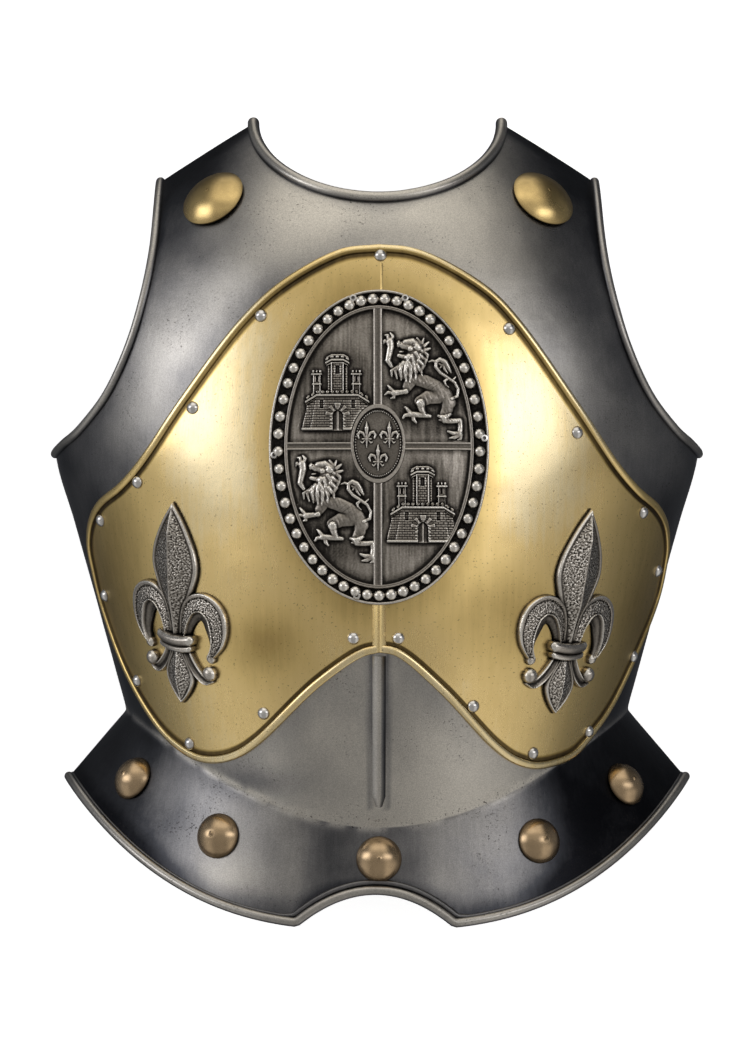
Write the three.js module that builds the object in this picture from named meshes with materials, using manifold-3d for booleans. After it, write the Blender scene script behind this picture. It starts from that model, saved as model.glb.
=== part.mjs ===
// Steel breastplate of a decorative cuirass: a hammered steel plate with a flared waist flange,
// a riveted brass overlay, a cast oval medallion, two cast fleurs-de-lis and domed bosses.
// Millimetres. +X is to the right of someone looking at its front, +Y is towards the neck and +Z is
// out of its front. It lies face up on the cut edges of its two sides, which are in the plane z = 0.
import * as THREE from 'three';
import { mergeVertices } from 'three/addons/utils/BufferGeometryUtils.js';
import Module from 'manifold-3d';

const wasm = await Module();
wasm.setup();

// ---------------------------------------------------------------- driving dimensions

const steelWall = 1.5;
const brassWall = 0.9;
const gap = 0.3;
const slack = 1.5;              // extra room for headed ends behind the plate, whose flat facets bow inwards

const waistY = -111;            // where the side edges end and the waist crease begins
const armholeY = 42;            // where the side edges end and the armholes begin
const waistDip = 64.5;          // how far the crease drops from the sides to the middle

// Level sections of the chest are half ellipses, standing on the side edges.
const chestSections = [
  { y: -185, halfWidth: 129.4, crest: 137 },
  { y: -150, halfWidth: 139.1, crest: 151 },
  { y: -111, halfWidth: 150.0, crest: 160 },
  { y: -75, halfWidth: 160.0, crest: 165 },
  { y: 0, halfWidth: 180.9, crest: 163.5 },
  { y: 42, halfWidth: 192.6, crest: 159 },
  { y: 80, halfWidth: 192, crest: 154 },
  { y: 120, halfWidth: 184, crest: 147 },
  { y: 160, halfWidth: 168, crest: 136 },
  { y: 185, halfWidth: 154, crest: 124 },
  { y: 200, halfWidth: 142, crest: 112 },
  { y: 220, halfWidth: 121, crest: 88 },
  { y: 243, halfWidth: 97, crest: 51 },
];

// The neck opening is half an ellipse, and a straight edge joins each end of it to its armhole.
const neck = { centreY: 238, halfWidth: 73.5, depth: 48.2 };
const armholeEdge = [
  { y: 42, x: 192.6 },
  { y: 48.6, x: 184.4 },
  { y: 55.5, x: 175.6 },
  { y: 76, x: 158.9 },
  { y: 104, x: 145.6 },
  { y: 132.5, x: 137.1 },
  { y: 161, x: 131.7 },
  { y: 203, x: 128.7 },
];

// The flange flares from the crease to a rim with a shallow arch cut in its middle.
const rim = { tipX: 183.5, tipY: -150.5, lowY: -232.3, power: 2.8, halfSpan: 187, crest: 152, sink: 3 };
const arch = { x: -2, halfWidth: 46, topY: -211.8 };
const flangeSag = 1.5;            // how far the flare is hollowed between crease and rim

const neckRoll = 3.5;           // radii of the rolled edges
const armholeRoll = 2.8;
const rimRoll = 2.8;

const columns = { arch: 3, neck: 7, half: 10 };     // grid columns at the arch's corner, neck tip and side
const rows = { flange: 3, side: 4, armhole: 7 };

// Outer edge of the brass overlay: up its right side from the notch under the chest to the top,
// and down its left side. The two sides are cut by eye and differ a little.
const brassRight = [
  { x: 0, y: -74 },
  { x: 9.6, y: -76 },
  { x: 34.5, y: -97 },
  { x: 66, y: -130.5 },
  { x: 78, y: -139 },
  { x: 90, y: -142.5 },
  { x: 102, y: -141 },
  { x: 113.3, y: -136.5 },
  { x: 125.3, y: -124 },
  { x: 136, y: -109.5 },
  { x: 150, y: -82 },
  { x: 165.3, y: -45 },
  { x: 170, y: -24 },
  { x: 171.5, y: -9.5 },
  { x: 169.3, y: 3.3 },
  { x: 163.8, y: 12.2 },
  { x: 152.3, y: 21.5 },
  { x: 140, y: 35 },
  { x: 116, y: 70 },
  { x: 81, y: 119 },
  { x: 64, y: 136.5 },
  { x: 35, y: 154 },
  { x: 18, y: 160 },
  { x: 0, y: 161.7 },
];
const brassLeft = [
  { x: -22.4, y: 158.8 },
  { x: -57, y: 140 },
  { x: -80.4, y: 118.3 },
  { x: -115.4, y: 72 },
  { x: -139, y: 37.3 },
  { x: -151, y: 24 },
  { x: -163.5, y: 14 },
  { x: -168.8, y: 4.3 },
  { x: -170.6, y: -9.5 },
  { x: -167.6, y: -27.3 },
  { x: -161.5, y: -51.3 },
  { x: -146.6, y: -90.3 },
  { x: -128, y: -120.5 },
  { x: -116, y: -132 },
  { x: -104, y: -138.3 },
  { x: -92.3, y: -139 },
  { x: -80.5, y: -135.5 },
  { x: -68.7, y: -127.5 },
  { x: -34, y: -93.7 },
  { x: -9.5, y: -76.5 },
];
const brassBead = { width: 4.6, height: 2.4 };
const brassSteps = 25;          // straight stretches in each half of its edge

const rib = { topY: -80, endY: -163.5, halfWidth: 4.2, height: 2.4 };     // medial rib below the notch
const brassRib = { topY: -47.8, endY: -70.5 };

const seat = 1.0;               // height of a dome's rim above the plate that curves away under it
const rivet = { head: 3.5, rise: 2.6, shank: 2, tail: 3.4, tailRise: 1.4, sides: 5 };
const rivetPlaces = [
  { x: 1, y: 155.3 },
  { x: -68, y: 120.5 },
  { x: -107.5, y: 67.3 },
  { x: -139.8, y: 24.5 },
  { x: -162, y: 2.4 },
  { x: -160, y: -42 },
  { x: -140.5, y: -92 },
  { x: -109.2, y: -128 },
  { x: -66.2, y: -109.3 },
  { x: -14.6, y: -65.6 },
  { x: 75.3, y: 113 },
  { x: 114.8, y: 53 },
  { x: 154.6, y: 7 },
  { x: 164.6, y: -27.4 },
  { x: 150, y: -78.2 },
  { x: 122.5, y: -121.6 },
  { x: 89, y: -133.2 },
  { x: 54, y: -105.1 },
  { x: 11, y: -65.6 },
];

const bossSides = 9;
const shoulderBoss = { radius: 19.5, rise: 7.8, wall: 1.1, post: 2.5, tail: 4.5, tailRise: 1.6 };
const shoulderBossPlaces = [{ x: -96.5, y: 190.5 }, { x: 96.5, y: 190.5 }];
const flangeBoss = { radius: 13.2, rise: 8.4, wall: 1.1, post: 2.5, tail: 4.5, tailRise: 1.6 };
// Each flange boss is placed by its share of the half width and of the way from crease to rim.
const flangeBossPlaces = [
  { side: -0.742, down: 0.472 },
  { side: -0.465, down: 0.475 },
  { side: 0.006, down: 0.507 },
  { side: 0.471, down: 0.517 },
  { side: 0.747, down: 0.532 },
];

// Medallion: a cast oval with pearls round it, quartered by a cross.
const medallion = { y: 44, halfWidth: 62.6, halfHeight: 90.6, thickness: 2.6, lift: 0.5 };
const pearl = { count: 53, radius: 3.3, rise: 2.4, sides: 4, halfWidth: 57.2, halfHeight: 85.2 };
const innerRim = { halfWidth: 53.2, halfHeight: 80.8, width: 2.2, rise: 1.8 };
const crossBar = { vertical: 5.2, horizontal: 4.6, x: -0.7, y: 0.3, rise: 1.6 };
const shield = { halfWidth: 15.6, halfHeight: 23.1, x: -0.6, y: 1.6, rise: 2.2 };
const reliefRise = 1.8;
const rootDepth = 1.6;          // how far every raised piece runs down into the medallion's ground
const castlePlaces = [{ x: -23.5, y: 9.8 }, { x: 24.4, y: -54.8 }];
const lionPlaces = [{ x: 0, y: 0 }, { x: -49.6, y: -70.4 }];
const pinPlaces = [
  { x: -14.6, y: 129.5 },
  { x: 14.8, y: 129.5 },
  { x: 59.4, y: 49 },
  { x: -59.2, y: 39.3 },
  { x: -12.5, y: -41.3 },
  { x: 13.8, y: -39.6 },
];
const pin = { radius: 1.7, bore: 0.7, rise: 1.2, tail: 2.6, tailRise: 1 };

// Fleurs-de-lis: turn is the place round the chest from its middle, in degrees.
const fleurPlaces = [
  { name: 'left', turn: -43.5, y: -46, lean: 11 },
  { name: 'right', turn: 41.6, y: -51, lean: 0 },
];
const fleur = { lift: 0.7, base: 2.4, petalCrest: 4, footCrest: 2.4, studRadius: 2, studAt: [24, -38] };

// ---------------------------------------------------------------- finishes

function finish(color, roughness, metalness = 1) {
  return new THREE.MeshStandardMaterial({ color, roughness, metalness });
}
const steel = finish(0x9a9894, 0.38);
const brass = finish(0xc9a95c, 0.32);
const rivetSteel = finish(0xd8d3cb, 0.3);
const bossBrass = finish(0xb8964f, 0.3);
const bronze = finish(0x9c7f5a, 0.36);
const pewter = finish(0x6f6a62, 0.45);

// ---------------------------------------------------------------- small tools

// Smooth value of one column of a table at a given y, with a slope carried through each row.
function smooth(table, column, y) {
  const last = table.length - 1;
  const step = (i) => (table[i + 1][column] - table[i][column]) / (table[i + 1].y - table[i].y);
  const slope = (i) => {
    if (i === 0) return step(0);
    if (i === last) return step(last - 1);
    const before = table[i].y - table[i - 1].y;
    const after = table[i + 1].y - table[i].y;
    return (step(i - 1) * after + step(i) * before) / (before + after);
  };
  let i = 0;
  while (i < last - 1 && y > table[i + 1].y) i++;
  const width = table[i + 1].y - table[i].y;
  const t = (y - table[i].y) / width;
  if (t < 0) return table[0][column] + slope(0) * (y - table[0].y);
  if (t > 1) return table[last][column] + slope(last) * (y - table[last].y);
  const t2 = t * t;
  const t3 = t2 * t;
  return (2 * t3 - 3 * t2 + 1) * table[i][column] + (t3 - 2 * t2 + t) * width * slope(i)
    + (3 * t2 - 2 * t3) * table[i + 1][column] + (t3 - t2) * width * slope(i + 1);
}

const halfWidthAt = (y) => smooth(chestSections, 'halfWidth', y);
const crestAt = (y) => smooth(chestSections, 'crest', y);

// Closed geometry from corner points and triangles given by their numbers.
function geometryOf(points, faces) {
  const geometry = new THREE.BufferGeometry();
  geometry.setAttribute('position', new THREE.Float32BufferAttribute(points.flatMap((p) => [p.x, p.y, p.z]), 3));
  geometry.setIndex(faces.flat());
  return geometry;
}

// A closed geometry as a solid that can be joined and cut.
function solid(geometry) {
  const bare = geometry.clone();
  bare.deleteAttribute('normal');
  bare.deleteAttribute('uv');
  const merged = mergeVertices(bare, 1e-4);
  const index = merged.index.array;
  const faces = [];
  for (let i = 0; i < index.length; i += 3) {
    const [a, b, c] = [index[i], index[i + 1], index[i + 2]];
    if (a !== b && b !== c && c !== a) faces.push(a, b, c);
  }
  return new wasm.Manifold(new wasm.Mesh({
    numProp: 3,
    vertProperties: new Float32Array(merged.attributes.position.array),
    triVerts: new Uint32Array(faces),
  }));
}

function meshOf(name, body, material) {
  const { vertProperties, triVerts } = body.getMesh();
  const geometry = new THREE.BufferGeometry();
  geometry.setAttribute('position', new THREE.BufferAttribute(vertProperties, 3));
  geometry.setIndex(new THREE.BufferAttribute(triVerts, 1));
  const mesh = new THREE.Mesh(geometry, material);
  mesh.name = name;
  return mesh;
}

const joined = (parts) => parts.reduce((whole, part) => whole.add(part));

// A section of [across, up] points carried along stations that each hold a point and two directions.
function sweep(stations, section, closed = false) {
  const size = section.length;
  const points = stations.flatMap((s) => section.map(([across, up]) => s.point.clone()
    .addScaledVector(s.across, across).addScaledVector(s.up, up)));
  const faces = [];
  const spans = closed ? stations.length : stations.length - 1;
  for (let i = 0; i < spans; i++) {
    const here = i * size;
    const next = ((i + 1) % stations.length) * size;
    for (let k = 0; k < size; k++) {
      const m = (k + 1) % size;
      faces.push([here + k, here + m, next + m], [here + k, next + m, next + k]);
    }
  }
  if (!closed) {
    const end = (stations.length - 1) * size;
    for (let k = 1; k < size - 1; k++) {
      faces.push([0, k + 1, k], [end, end + k, end + k + 1]);
    }
  }
  return geometryOf(points, faces);
}

function ring(sides, radius) {
  return Array.from({ length: sides }, (_, i) => {
    const angle = (2 * Math.PI * (i + 0.5)) / sides;
    return [radius * Math.cos(angle), radius * Math.sin(angle)];
  });
}

// ---------------------------------------------------------------- form of the plate

const vec = (x, y, z) => new THREE.Vector3(x, y, z);

// A place on the chest's front face: turn is the angle round the half ellipse from its crest.
function chest(turn, y) {
  const halfWidth = halfWidthAt(y);
  const crest = crestAt(y);
  const point = vec(halfWidth * Math.sin(turn), y, crest * Math.cos(turn));
  const step = 0.05;
  const widthSlope = (halfWidthAt(y + step) - halfWidthAt(y - step)) / (2 * step);
  const crestSlope = (crestAt(y + step) - crestAt(y - step)) / (2 * step);
  const normal = vec(
    Math.sin(turn) / halfWidth,
    -(Math.sin(turn) ** 2 * widthSlope) / halfWidth - (Math.cos(turn) ** 2 * crestSlope) / crest,
    Math.cos(turn) / crest,
  ).normalize();
  return { point, normal };
}
const turnOf = (x, y) => Math.asin(THREE.MathUtils.clamp(x / halfWidthAt(y), -1, 1));
const chestAt = (x, y) => chest(turnOf(x, y), y);

const creaseY = (turn) => waistY - waistDip * Math.cos(turn) ** 2;

// The rim of the flange, by share of the half width: the arch first, then the long lower edge.
const archShare = columns.arch / columns.half;
function rimPoint(share) {
  const hand = Math.sign(share);
  const corner = arch.x + hand * arch.halfWidth;
  let x;
  let y;
  if (Math.abs(share) <= archShare) {
    x = arch.x + arch.halfWidth * (share / archShare);
    y = arch.topY + (rimY(corner) - arch.topY) * ((x - arch.x) / arch.halfWidth) ** 2;
  } else {
    const along = (Math.abs(share) - archShare) / (1 - archShare);
    const turns = [corner, hand * rim.tipX].map((end) => Math.asin(end / rim.halfSpan));
    x = rim.halfSpan * Math.sin(THREE.MathUtils.lerp(...turns, along));
    y = rimY(x);
  }
  return vec(x, y, rim.crest * Math.sqrt(1 - (x / rim.halfSpan) ** 2) - rim.sink);
}
function rimY(x) {
  return rim.lowY + (rim.tipY - rim.lowY) * Math.abs(x / rim.tipX) ** rim.power;
}

function flangePoint(share, down) {
  const turn = (share * Math.PI) / 2;
  const crease = chest(turn, creaseY(turn)).point;
  const point = crease.lerp(rimPoint(share), down);
  point.z -= 4 * flangeSag * down * (1 - down) * Math.cos(turn);
  return point;
}
function flange(share, down) {
  const step = 0.01;
  const side = flangePoint(share + step, down).sub(flangePoint(share - step, down));
  const along = flangePoint(share, down - step).sub(flangePoint(share, down + step));
  return { point: flangePoint(share, down), normal: side.cross(along).normalize() };
}

// Boundary curves of the chest in (turn, y), each run by a share from 0 to 1.
function bySpacing(points, share) {
  return new THREE.CatmullRomCurve3(points, false, 'centripetal').getPointAt(share);
}
const armholeCurve = armholeEdge.map(({ x, y }) => chestAt(x, y).point);
const neckTurns = Array.from({ length: 17 }, (_, i) => (i / 16) * (Math.PI / 2));
const neckCurve = neckTurns.map((angle) => chestAt(
  neck.halfWidth * Math.sin(angle),
  neck.centreY - neck.depth * Math.cos(angle),
).point);
const neckShare = columns.neck / columns.half;
const sideShare = rows.side / (rows.side + rows.armhole);
const flat = (point) => ({ turn: turnOf(point.x, point.y), y: point.y });

function bottomEdge(s) {
  const turn = (s * Math.PI) / 2;
  return { turn, y: creaseY(turn) };
}
function topEdge(s) {
  if (s <= neckShare) return flat(bySpacing(neckCurve, s / neckShare));
  const share = (s - neckShare) / (1 - neckShare);
  const tip = neckCurve.at(-1);
  const shoulder = armholeCurve.at(-1);
  return flat(tip.clone().lerp(shoulder, share));
}
const midline = (t) => ({ turn: 0, y: THREE.MathUtils.lerp(bottomEdge(0).y, topEdge(0).y, t) });
function outerEdge(t) {
  if (t <= sideShare) return { turn: Math.PI / 2, y: THREE.MathUtils.lerp(waistY, armholeY, t / sideShare) };
  return flat(bySpacing(armholeCurve, (t - sideShare) / (1 - sideShare)));
}

// A place inside the chest: its four boundary curves blended.
function chestPatch(s, t) {
  const side = Math.abs(s);
  const blend = (key) => (1 - t) * bottomEdge(side)[key] + t * topEdge(side)[key]
    + (1 - side) * midline(t)[key] + side * outerEdge(t)[key]
    - (1 - side) * (1 - t) * bottomEdge(0)[key] - side * (1 - t) * bottomEdge(1)[key]
    - (1 - side) * t * topEdge(0)[key] - side * t * topEdge(1)[key];
  return chest(Math.sign(s) * blend('turn'), blend('y'));
}

// The whole plate as rows of places, from the rim of the flange up to the neck.
function creaseRow(share) {
  const above = chestPatch(share, 0);
  const below = flange(share, 0);
  const normal = above.normal.clone().add(below.normal).normalize();
  return { point: above.point, normal: normal.multiplyScalar(1 / normal.dot(above.normal)) };
}
const shares = Array.from({ length: 2 * columns.half + 1 }, (_, i) => i / columns.half - 1);
const chestRows = rows.side + rows.armhole;
const flangeGrid = Array.from({ length: rows.flange }, (_, i) => shares.map((s) => flange(s, 1 - i / rows.flange)));
const chestGrid = Array.from({ length: chestRows }, (_, i) => shares.map((s) => chestPatch(s, (i + 1) / chestRows)));
const crease = shares.map(creaseRow);

// A closed wall between two heights above a grid of places.
function wall(grid, low, high) {
  const across = grid[0].length;
  const skin = (height) => grid.flatMap((row) => row.map((place) => place.point.clone()
    .addScaledVector(place.normal, height)));
  const points = [...skin(high), ...skin(low)];
  const under = grid.length * across;
  const faces = [];
  const edge = [];
  for (let j = 0; j < grid.length - 1; j++) {
    for (let i = 0; i < across - 1; i++) {
      const a = j * across + i;
      const [b, c, d] = [a + 1, a + across + 1, a + across];
      const mirrored = i >= (across - 1) / 2;
      const pair = mirrored ? [[a, b, c], [a, c, d]] : [[a, b, d], [b, c, d]];
      faces.push(...pair, ...pair.map(([p, q, r]) => [under + p, under + r, under + q]));
    }
  }
  for (let i = 0; i < across - 1; i++) edge.push([i, i + 1]);
  for (let j = 0; j < grid.length - 1; j++) edge.push([(j + 1) * across - 1, (j + 2) * across - 1]);
  for (let i = across - 1; i > 0; i--) edge.push([(grid.length - 1) * across + i, (grid.length - 1) * across + i - 1]);
  for (let j = grid.length - 1; j > 0; j--) edge.push([j * across, (j - 1) * across]);
  for (const [p, q] of edge) faces.push([p, under + p, under + q], [p, under + q, q]);
  return geometryOf(points, faces);
}

// ---------------------------------------------------------------- pieces along and on the plate

// Stations along a row of places: across lies in the plate to the left of the way, up is out of it.
function stationsAlong(places, closed = false) {
  const count = places.length;
  const at = (i) => (closed ? (i + count) % count : THREE.MathUtils.clamp(i, 0, count - 1));
  return places.map(({ point, normal }, i) => {
    const before = point.clone().sub(places[at(i - 1)].point).normalize();
    const after = places[at(i + 1)].point.clone().sub(point).normalize();
    const way = before.clone().add(after).normalize();
    const across = normal.clone().cross(way).normalize();
    const bend = i === at(i - 1) || i === at(i + 1) ? 1 : before.dot(after);
    across.multiplyScalar(1 / Math.sqrt(Math.max(0.3, (1 + bend) / 2)));
    return { point, across, up: normal.clone().normalize() };
  });
}

function rolledEdge(places, radius) {
  const centred = places.map(({ point, normal }) => ({
    point: point.clone().addScaledVector(normal, -steelWall / 2 + radius / 3),
    normal,
  }));
  return solid(sweep(stationsAlong(centred), ring(5, radius)));
}

// Frame standing on a place of the plate: its Z axis is the outward normal.
function standing({ point, normal }) {
  const turned = new THREE.Quaternion().setFromUnitVectors(vec(0, 0, 1), normal);
  return new THREE.Matrix4().compose(point, turned, vec(1, 1, 1));
}

// A turned piece on its axis from [radius, height] pairs, standing on the plate.
function turned(profile, sides, place) {
  const outline = profile.map(([radius, height]) => new THREE.Vector2(radius, height));
  const geometry = new THREE.LatheGeometry(outline, sides);
  return solid(geometry.rotateX(Math.PI / 2).applyMatrix4(standing(place)));
}

const holeReach = 12;           // how far a hole is cut above and below the plate's front face
function hole(radius, sides, place) {
  return turned([[0, -holeReach], [radius, -holeReach], [radius, holeReach], [0, holeReach]], sides, place);
}

// A flat shape drawn on the chest and raised between two heights above its front face.
function raised(outline, low, high, holes = []) {
  const wound = (points, clockwise) => {
    const corners = points.map(({ x, y }) => new THREE.Vector2(x, y));
    return THREE.ShapeUtils.isClockWise(corners) === clockwise ? corners : corners.reverse();
  };
  const shape = new THREE.Shape(wound(outline, false));
  shape.holes = holes.map((points) => new THREE.Path(wound(points, true)));
  const geometry = new THREE.ExtrudeGeometry(shape, { depth: 1, bevelEnabled: false });
  const position = geometry.attributes.position;
  for (let i = 0; i < position.count; i++) {
    const { point, normal } = chestAt(position.getX(i), position.getY(i));
    point.addScaledVector(normal, THREE.MathUtils.lerp(low, high, position.getZ(i)));
    position.setXYZ(i, point.x, point.y, point.z);
  }
  return solid(geometry);
}

function oval(halfWidth, halfHeight, count, centreX = 0, centreY = medallion.y) {
  return Array.from({ length: count }, (_, i) => {
    const angle = (2 * Math.PI * i) / count;
    return { x: centreX + halfWidth * Math.sin(angle), y: centreY + halfHeight * Math.cos(angle) };
  });
}

const brassFloor = gap;
const brassFace = brassFloor + brassWall;
const mountFloor = brassFace + gap;

// ---------------------------------------------------------------- rivets, bosses and pins

function rivetSolid(place) {
  const { head, rise, shank, tail, tailRise, sides } = rivet;
  const under = -steelWall - gap - slack;
  return turned([
    [0, under - tailRise], [tail, under], [shank, under], [shank, mountFloor],
    [head, mountFloor], [0, mountFloor + rise],
  ], sides, place);
}

// A thin dome with a post down its middle, headed over behind the plate.
function bossSolid(boss, place) {
  const { radius, rise, wall: thick, post, tail, tailRise } = boss;
  const under = -steelWall - gap - slack;
  const dome = (share, shrink) => {
    const ball = (radius * radius + rise * rise) / (2 * rise);
    const edge = Math.asin(radius / ball);
    const angle = edge * share;
    return [(ball - shrink) * Math.sin(angle), seat + rise - ball + (ball - shrink) * Math.cos(angle)];
  };
  const inner = [0.6].map((share) => dome(share, thick));
  const root = dome(post / radius, thick)[1];
  return turned([
    [0, under - tailRise], [tail * 0.8, under - tailRise], [tail, under], [post, under], [post, root],
    ...inner.reverse(), [radius - thick, seat], ...[1, 0.6].map((share) => dome(share, 0)),
    [0, seat + rise],
  ], bossSides, place);
}

function pinSolid(place) {
  const { radius, rise, tail, tailRise, bore } = pin;
  const top = mountFloor + medallion.thickness + rise;
  const under = -steelWall - gap - slack;
  return turned([
    [0, under - tailRise], [tail, under], [radius, under], [radius, top], [0, top - bore],
  ], 5, place);
}

// ---------------------------------------------------------------- fleur-de-lis

// Half outlines in the casting's own plane: u to one side of its axis and v along it, tip upwards.
const fleurPetal = [[0, 60.5], [8.5, 42], [14, 31], [16.8, 22], [14, 10], [8.5, -4], [5.5, -16], [0, -18]];
const fleurLobe = [
  [4, -18], [9, -4], [15, 6], [23, 9.5], [31, 7], [36.5, -2], [35.5, -14], [31, -23], [26, -30.5],
  [21.5, -27], [25, -20], [26, -10], [21, -6], [15.5, -10], [12, -18],
];
const fleurBand = [[0, -15], [15.5, -16.5], [16.5, -20.5], [15.5, -25], [0, -26.5]];
const fleurFoot = [[0, -22], [4.5, -26], [8, -35], [10.4, -42], [7.6, -49], [0, -59]];
const fleurScroll = [[4, -24], [11, -24], [17, -27], [23.5, -31], [28, -36], [26.5, -41], [19, -43.5], [11, -38], [6, -30]];

function fleurBody(place) {
  const y0 = place.y;
  const turn0 = THREE.MathUtils.degToRad(place.turn);
  const lean = THREE.MathUtils.degToRad(place.lean);
  const reach = Math.hypot(halfWidthAt(y0) * Math.cos(turn0), crestAt(y0) * Math.sin(turn0));
  const at = (u, v) => {
    const along = u * Math.cos(lean) - v * Math.sin(lean) * Math.sign(turn0);
    const up = v * Math.cos(lean) + u * Math.sin(lean) * Math.sign(turn0);
    return chest(turn0 + along / reach, y0 + up);
  };
  const lifted = (u, v, height) => {
    const { point, normal } = at(u, v);
    return point.addScaledVector(normal, height);
  };
  const floor = mountFloor + fleur.lift;
  const top = floor + fleur.base;
  const slab = (outline, high) => {
    const shape = new THREE.Shape(outline.map(([u, v]) => new THREE.Vector2(u, v)));
    const geometry = new THREE.ExtrudeGeometry(shape, { depth: 1, bevelEnabled: false });
    const position = geometry.attributes.position;
    for (let i = 0; i < position.count; i++) {
      const height = THREE.MathUtils.lerp(floor, high, position.getZ(i));
      position.setXYZ(i, ...lifted(position.getX(i), position.getY(i), height).toArray());
    }
    return solid(geometry);
  };
  const mirrored = (outline) => outline.map(([u, v]) => [-u, v]);
  // A leaf that rises to a crease down its middle, from half its outline between two points on its axis.
  const leaf = (half, crest) => {
    const rows = half.slice(1, -1);
    const skin = (edge, middle) => [
      lifted(...half[0], edge),
      ...rows.flatMap(([u, v]) => [lifted(-u, v, edge), lifted(0, v, middle), lifted(u, v, edge)]),
      lifted(...half.at(-1), edge),
    ];
    const upper = skin(top, top + crest);
    const under = upper.length;
    const end = under - 1;
    const last = end - 3;
    const faces = [[0, 1, 2], [0, 2, 3], [last, end, last + 1], [last + 1, end, last + 2]];
    for (let i = 1; i < last; i += 3) {
      faces.push([i, i + 3, i + 4], [i, i + 4, i + 1], [i + 1, i + 4, i + 5], [i + 1, i + 5, i + 2]);
    }
    faces.push(...faces.map(([p, q, r]) => [under + p, under + r, under + q]));
    const leftSide = rows.map((_, i) => 1 + 3 * i);
    const loop = [0, ...leftSide, end, ...leftSide.map((i) => i + 2).reverse()];
    loop.forEach((p, i) => {
      const q = loop[(i + 1) % loop.length];
      faces.push([p, under + p, under + q], [p, under + q, q]);
    });
    return solid(geometryOf([...upper, ...skin(floor, floor)], faces));
  };
  const parts = [
    leaf(fleurPetal, fleur.petalCrest),
    leaf(fleurFoot, fleur.footCrest),
    ...[fleurLobe, fleurScroll].flatMap((outline) => [slab(outline, top), slab(mirrored(outline), top)]),
    slab([...fleurBand, ...mirrored(fleurBand.slice(1, -1)).reverse()], top + 2),
  ];
  for (const v of fleur.studAt) {
    const under = -steelWall - gap - slack;
    const { studRadius: r } = fleur;
    parts.push(turned([
      [0, under - 1.2], [r * 1.3, under - 1.2], [r * 1.6, under], [r, under], [r, floor + 1], [0, floor + 1],
    ], 6, at(0, v)));
  }
  return { body: joined(parts), studs: fleur.studAt.map((v) => at(0, v)) };
}

// ---------------------------------------------------------------- medallion

const castleOutline = [
  [-20, 0], [-18, 17.5], [-14, 20.5], [-14, 23.5], [-15.5, 25.5], [-15.5, 34.5], [-9, 34.5], [-9, 25.5],
  [-5.5, 23.5], [-5.5, 38.5], [-7, 40], [-7, 44.8], [7, 44.8], [7, 40], [5.5, 38.5], [5.5, 23.5],
  [9, 25.5], [9, 34.5], [15.5, 34.5], [15.5, 25.5], [14, 23.5], [14, 20.5], [18, 17.5], [20, 0],
];
const castleDoor = [[-3, 1], [-3, 8.5], [0, 11], [3, 8.5], [3, 1]];

// Rampant lion facing left, from the middle of the medallion: limbs as tapered strokes [x, y, radius].
const lionStrokes = {
  head: [[12, 55, 3], [18, 56.5, 6.6], [20, 48, 7.6], [18, 40, 5]],
  body: [[21, 44, 5.5], [27.5, 36.5, 5.2], [34, 32, 4.6], [39.5, 26, 4]],
  raisedArm: [[14, 46, 3.4], [7.5, 49.5, 2.4], [6.4, 58, 2], [5.8, 64, 2.4]],
  loweredArm: [[17.5, 40, 3.6], [15.5, 33.5, 2.6], [5, 31.2, 2]],
  nearLeg: [[36, 29, 4.6], [27, 26, 3.6], [22.5, 19, 3], [14, 15.5, 2]],
  farLeg: [[39, 26, 4.4], [38.5, 18, 3.4], [44.5, 12, 2.6], [41.5, 6.5, 2.2]],
  tail: [[40.5, 27, 1.6], [45.2, 32, 1.5], [42, 39, 1.5], [33, 44.5, 2], [33.5, 50, 1.7], [38.5, 48.2, 1.2]],
};
const tinyFleur = [[0, 6], [2, 2], [4.5, 2.5], [4.5, -1], [1.8, -1], [1.5, -5], [-1.5, -5], [-1.8, -1], [-4.5, -1],
  [-4.5, 2.5], [-2, 2]];
const tinyFleurPlaces = [{ x: -6.5, y: 5 }, { x: 6.5, y: 5 }, { x: 0, y: -9 }];

// Outline of a tapered stroke: down one side of its line and back up the other.
function strokeOutline(stroke) {
  const nodes = stroke.map(([x, y]) => new THREE.Vector2(x, y));
  const sides = nodes.map((node, i) => {
    const before = nodes[Math.max(i - 1, 0)];
    const after = nodes[Math.min(i + 1, nodes.length - 1)];
    const way = after.clone().sub(before).normalize();
    const end = (i === 0 ? -0.6 : i === nodes.length - 1 ? 0.6 : 0) * stroke[i][2];
    const centre = node.clone().addScaledVector(way, end);
    const aside = new THREE.Vector2(-way.y, way.x).multiplyScalar(stroke[i][2]);
    return [centre.clone().add(aside).toArray(), centre.clone().sub(aside).toArray()];
  });
  return [...sides.map((pair) => pair[0]), ...sides.map((pair) => pair[1]).reverse()];
}

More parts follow.
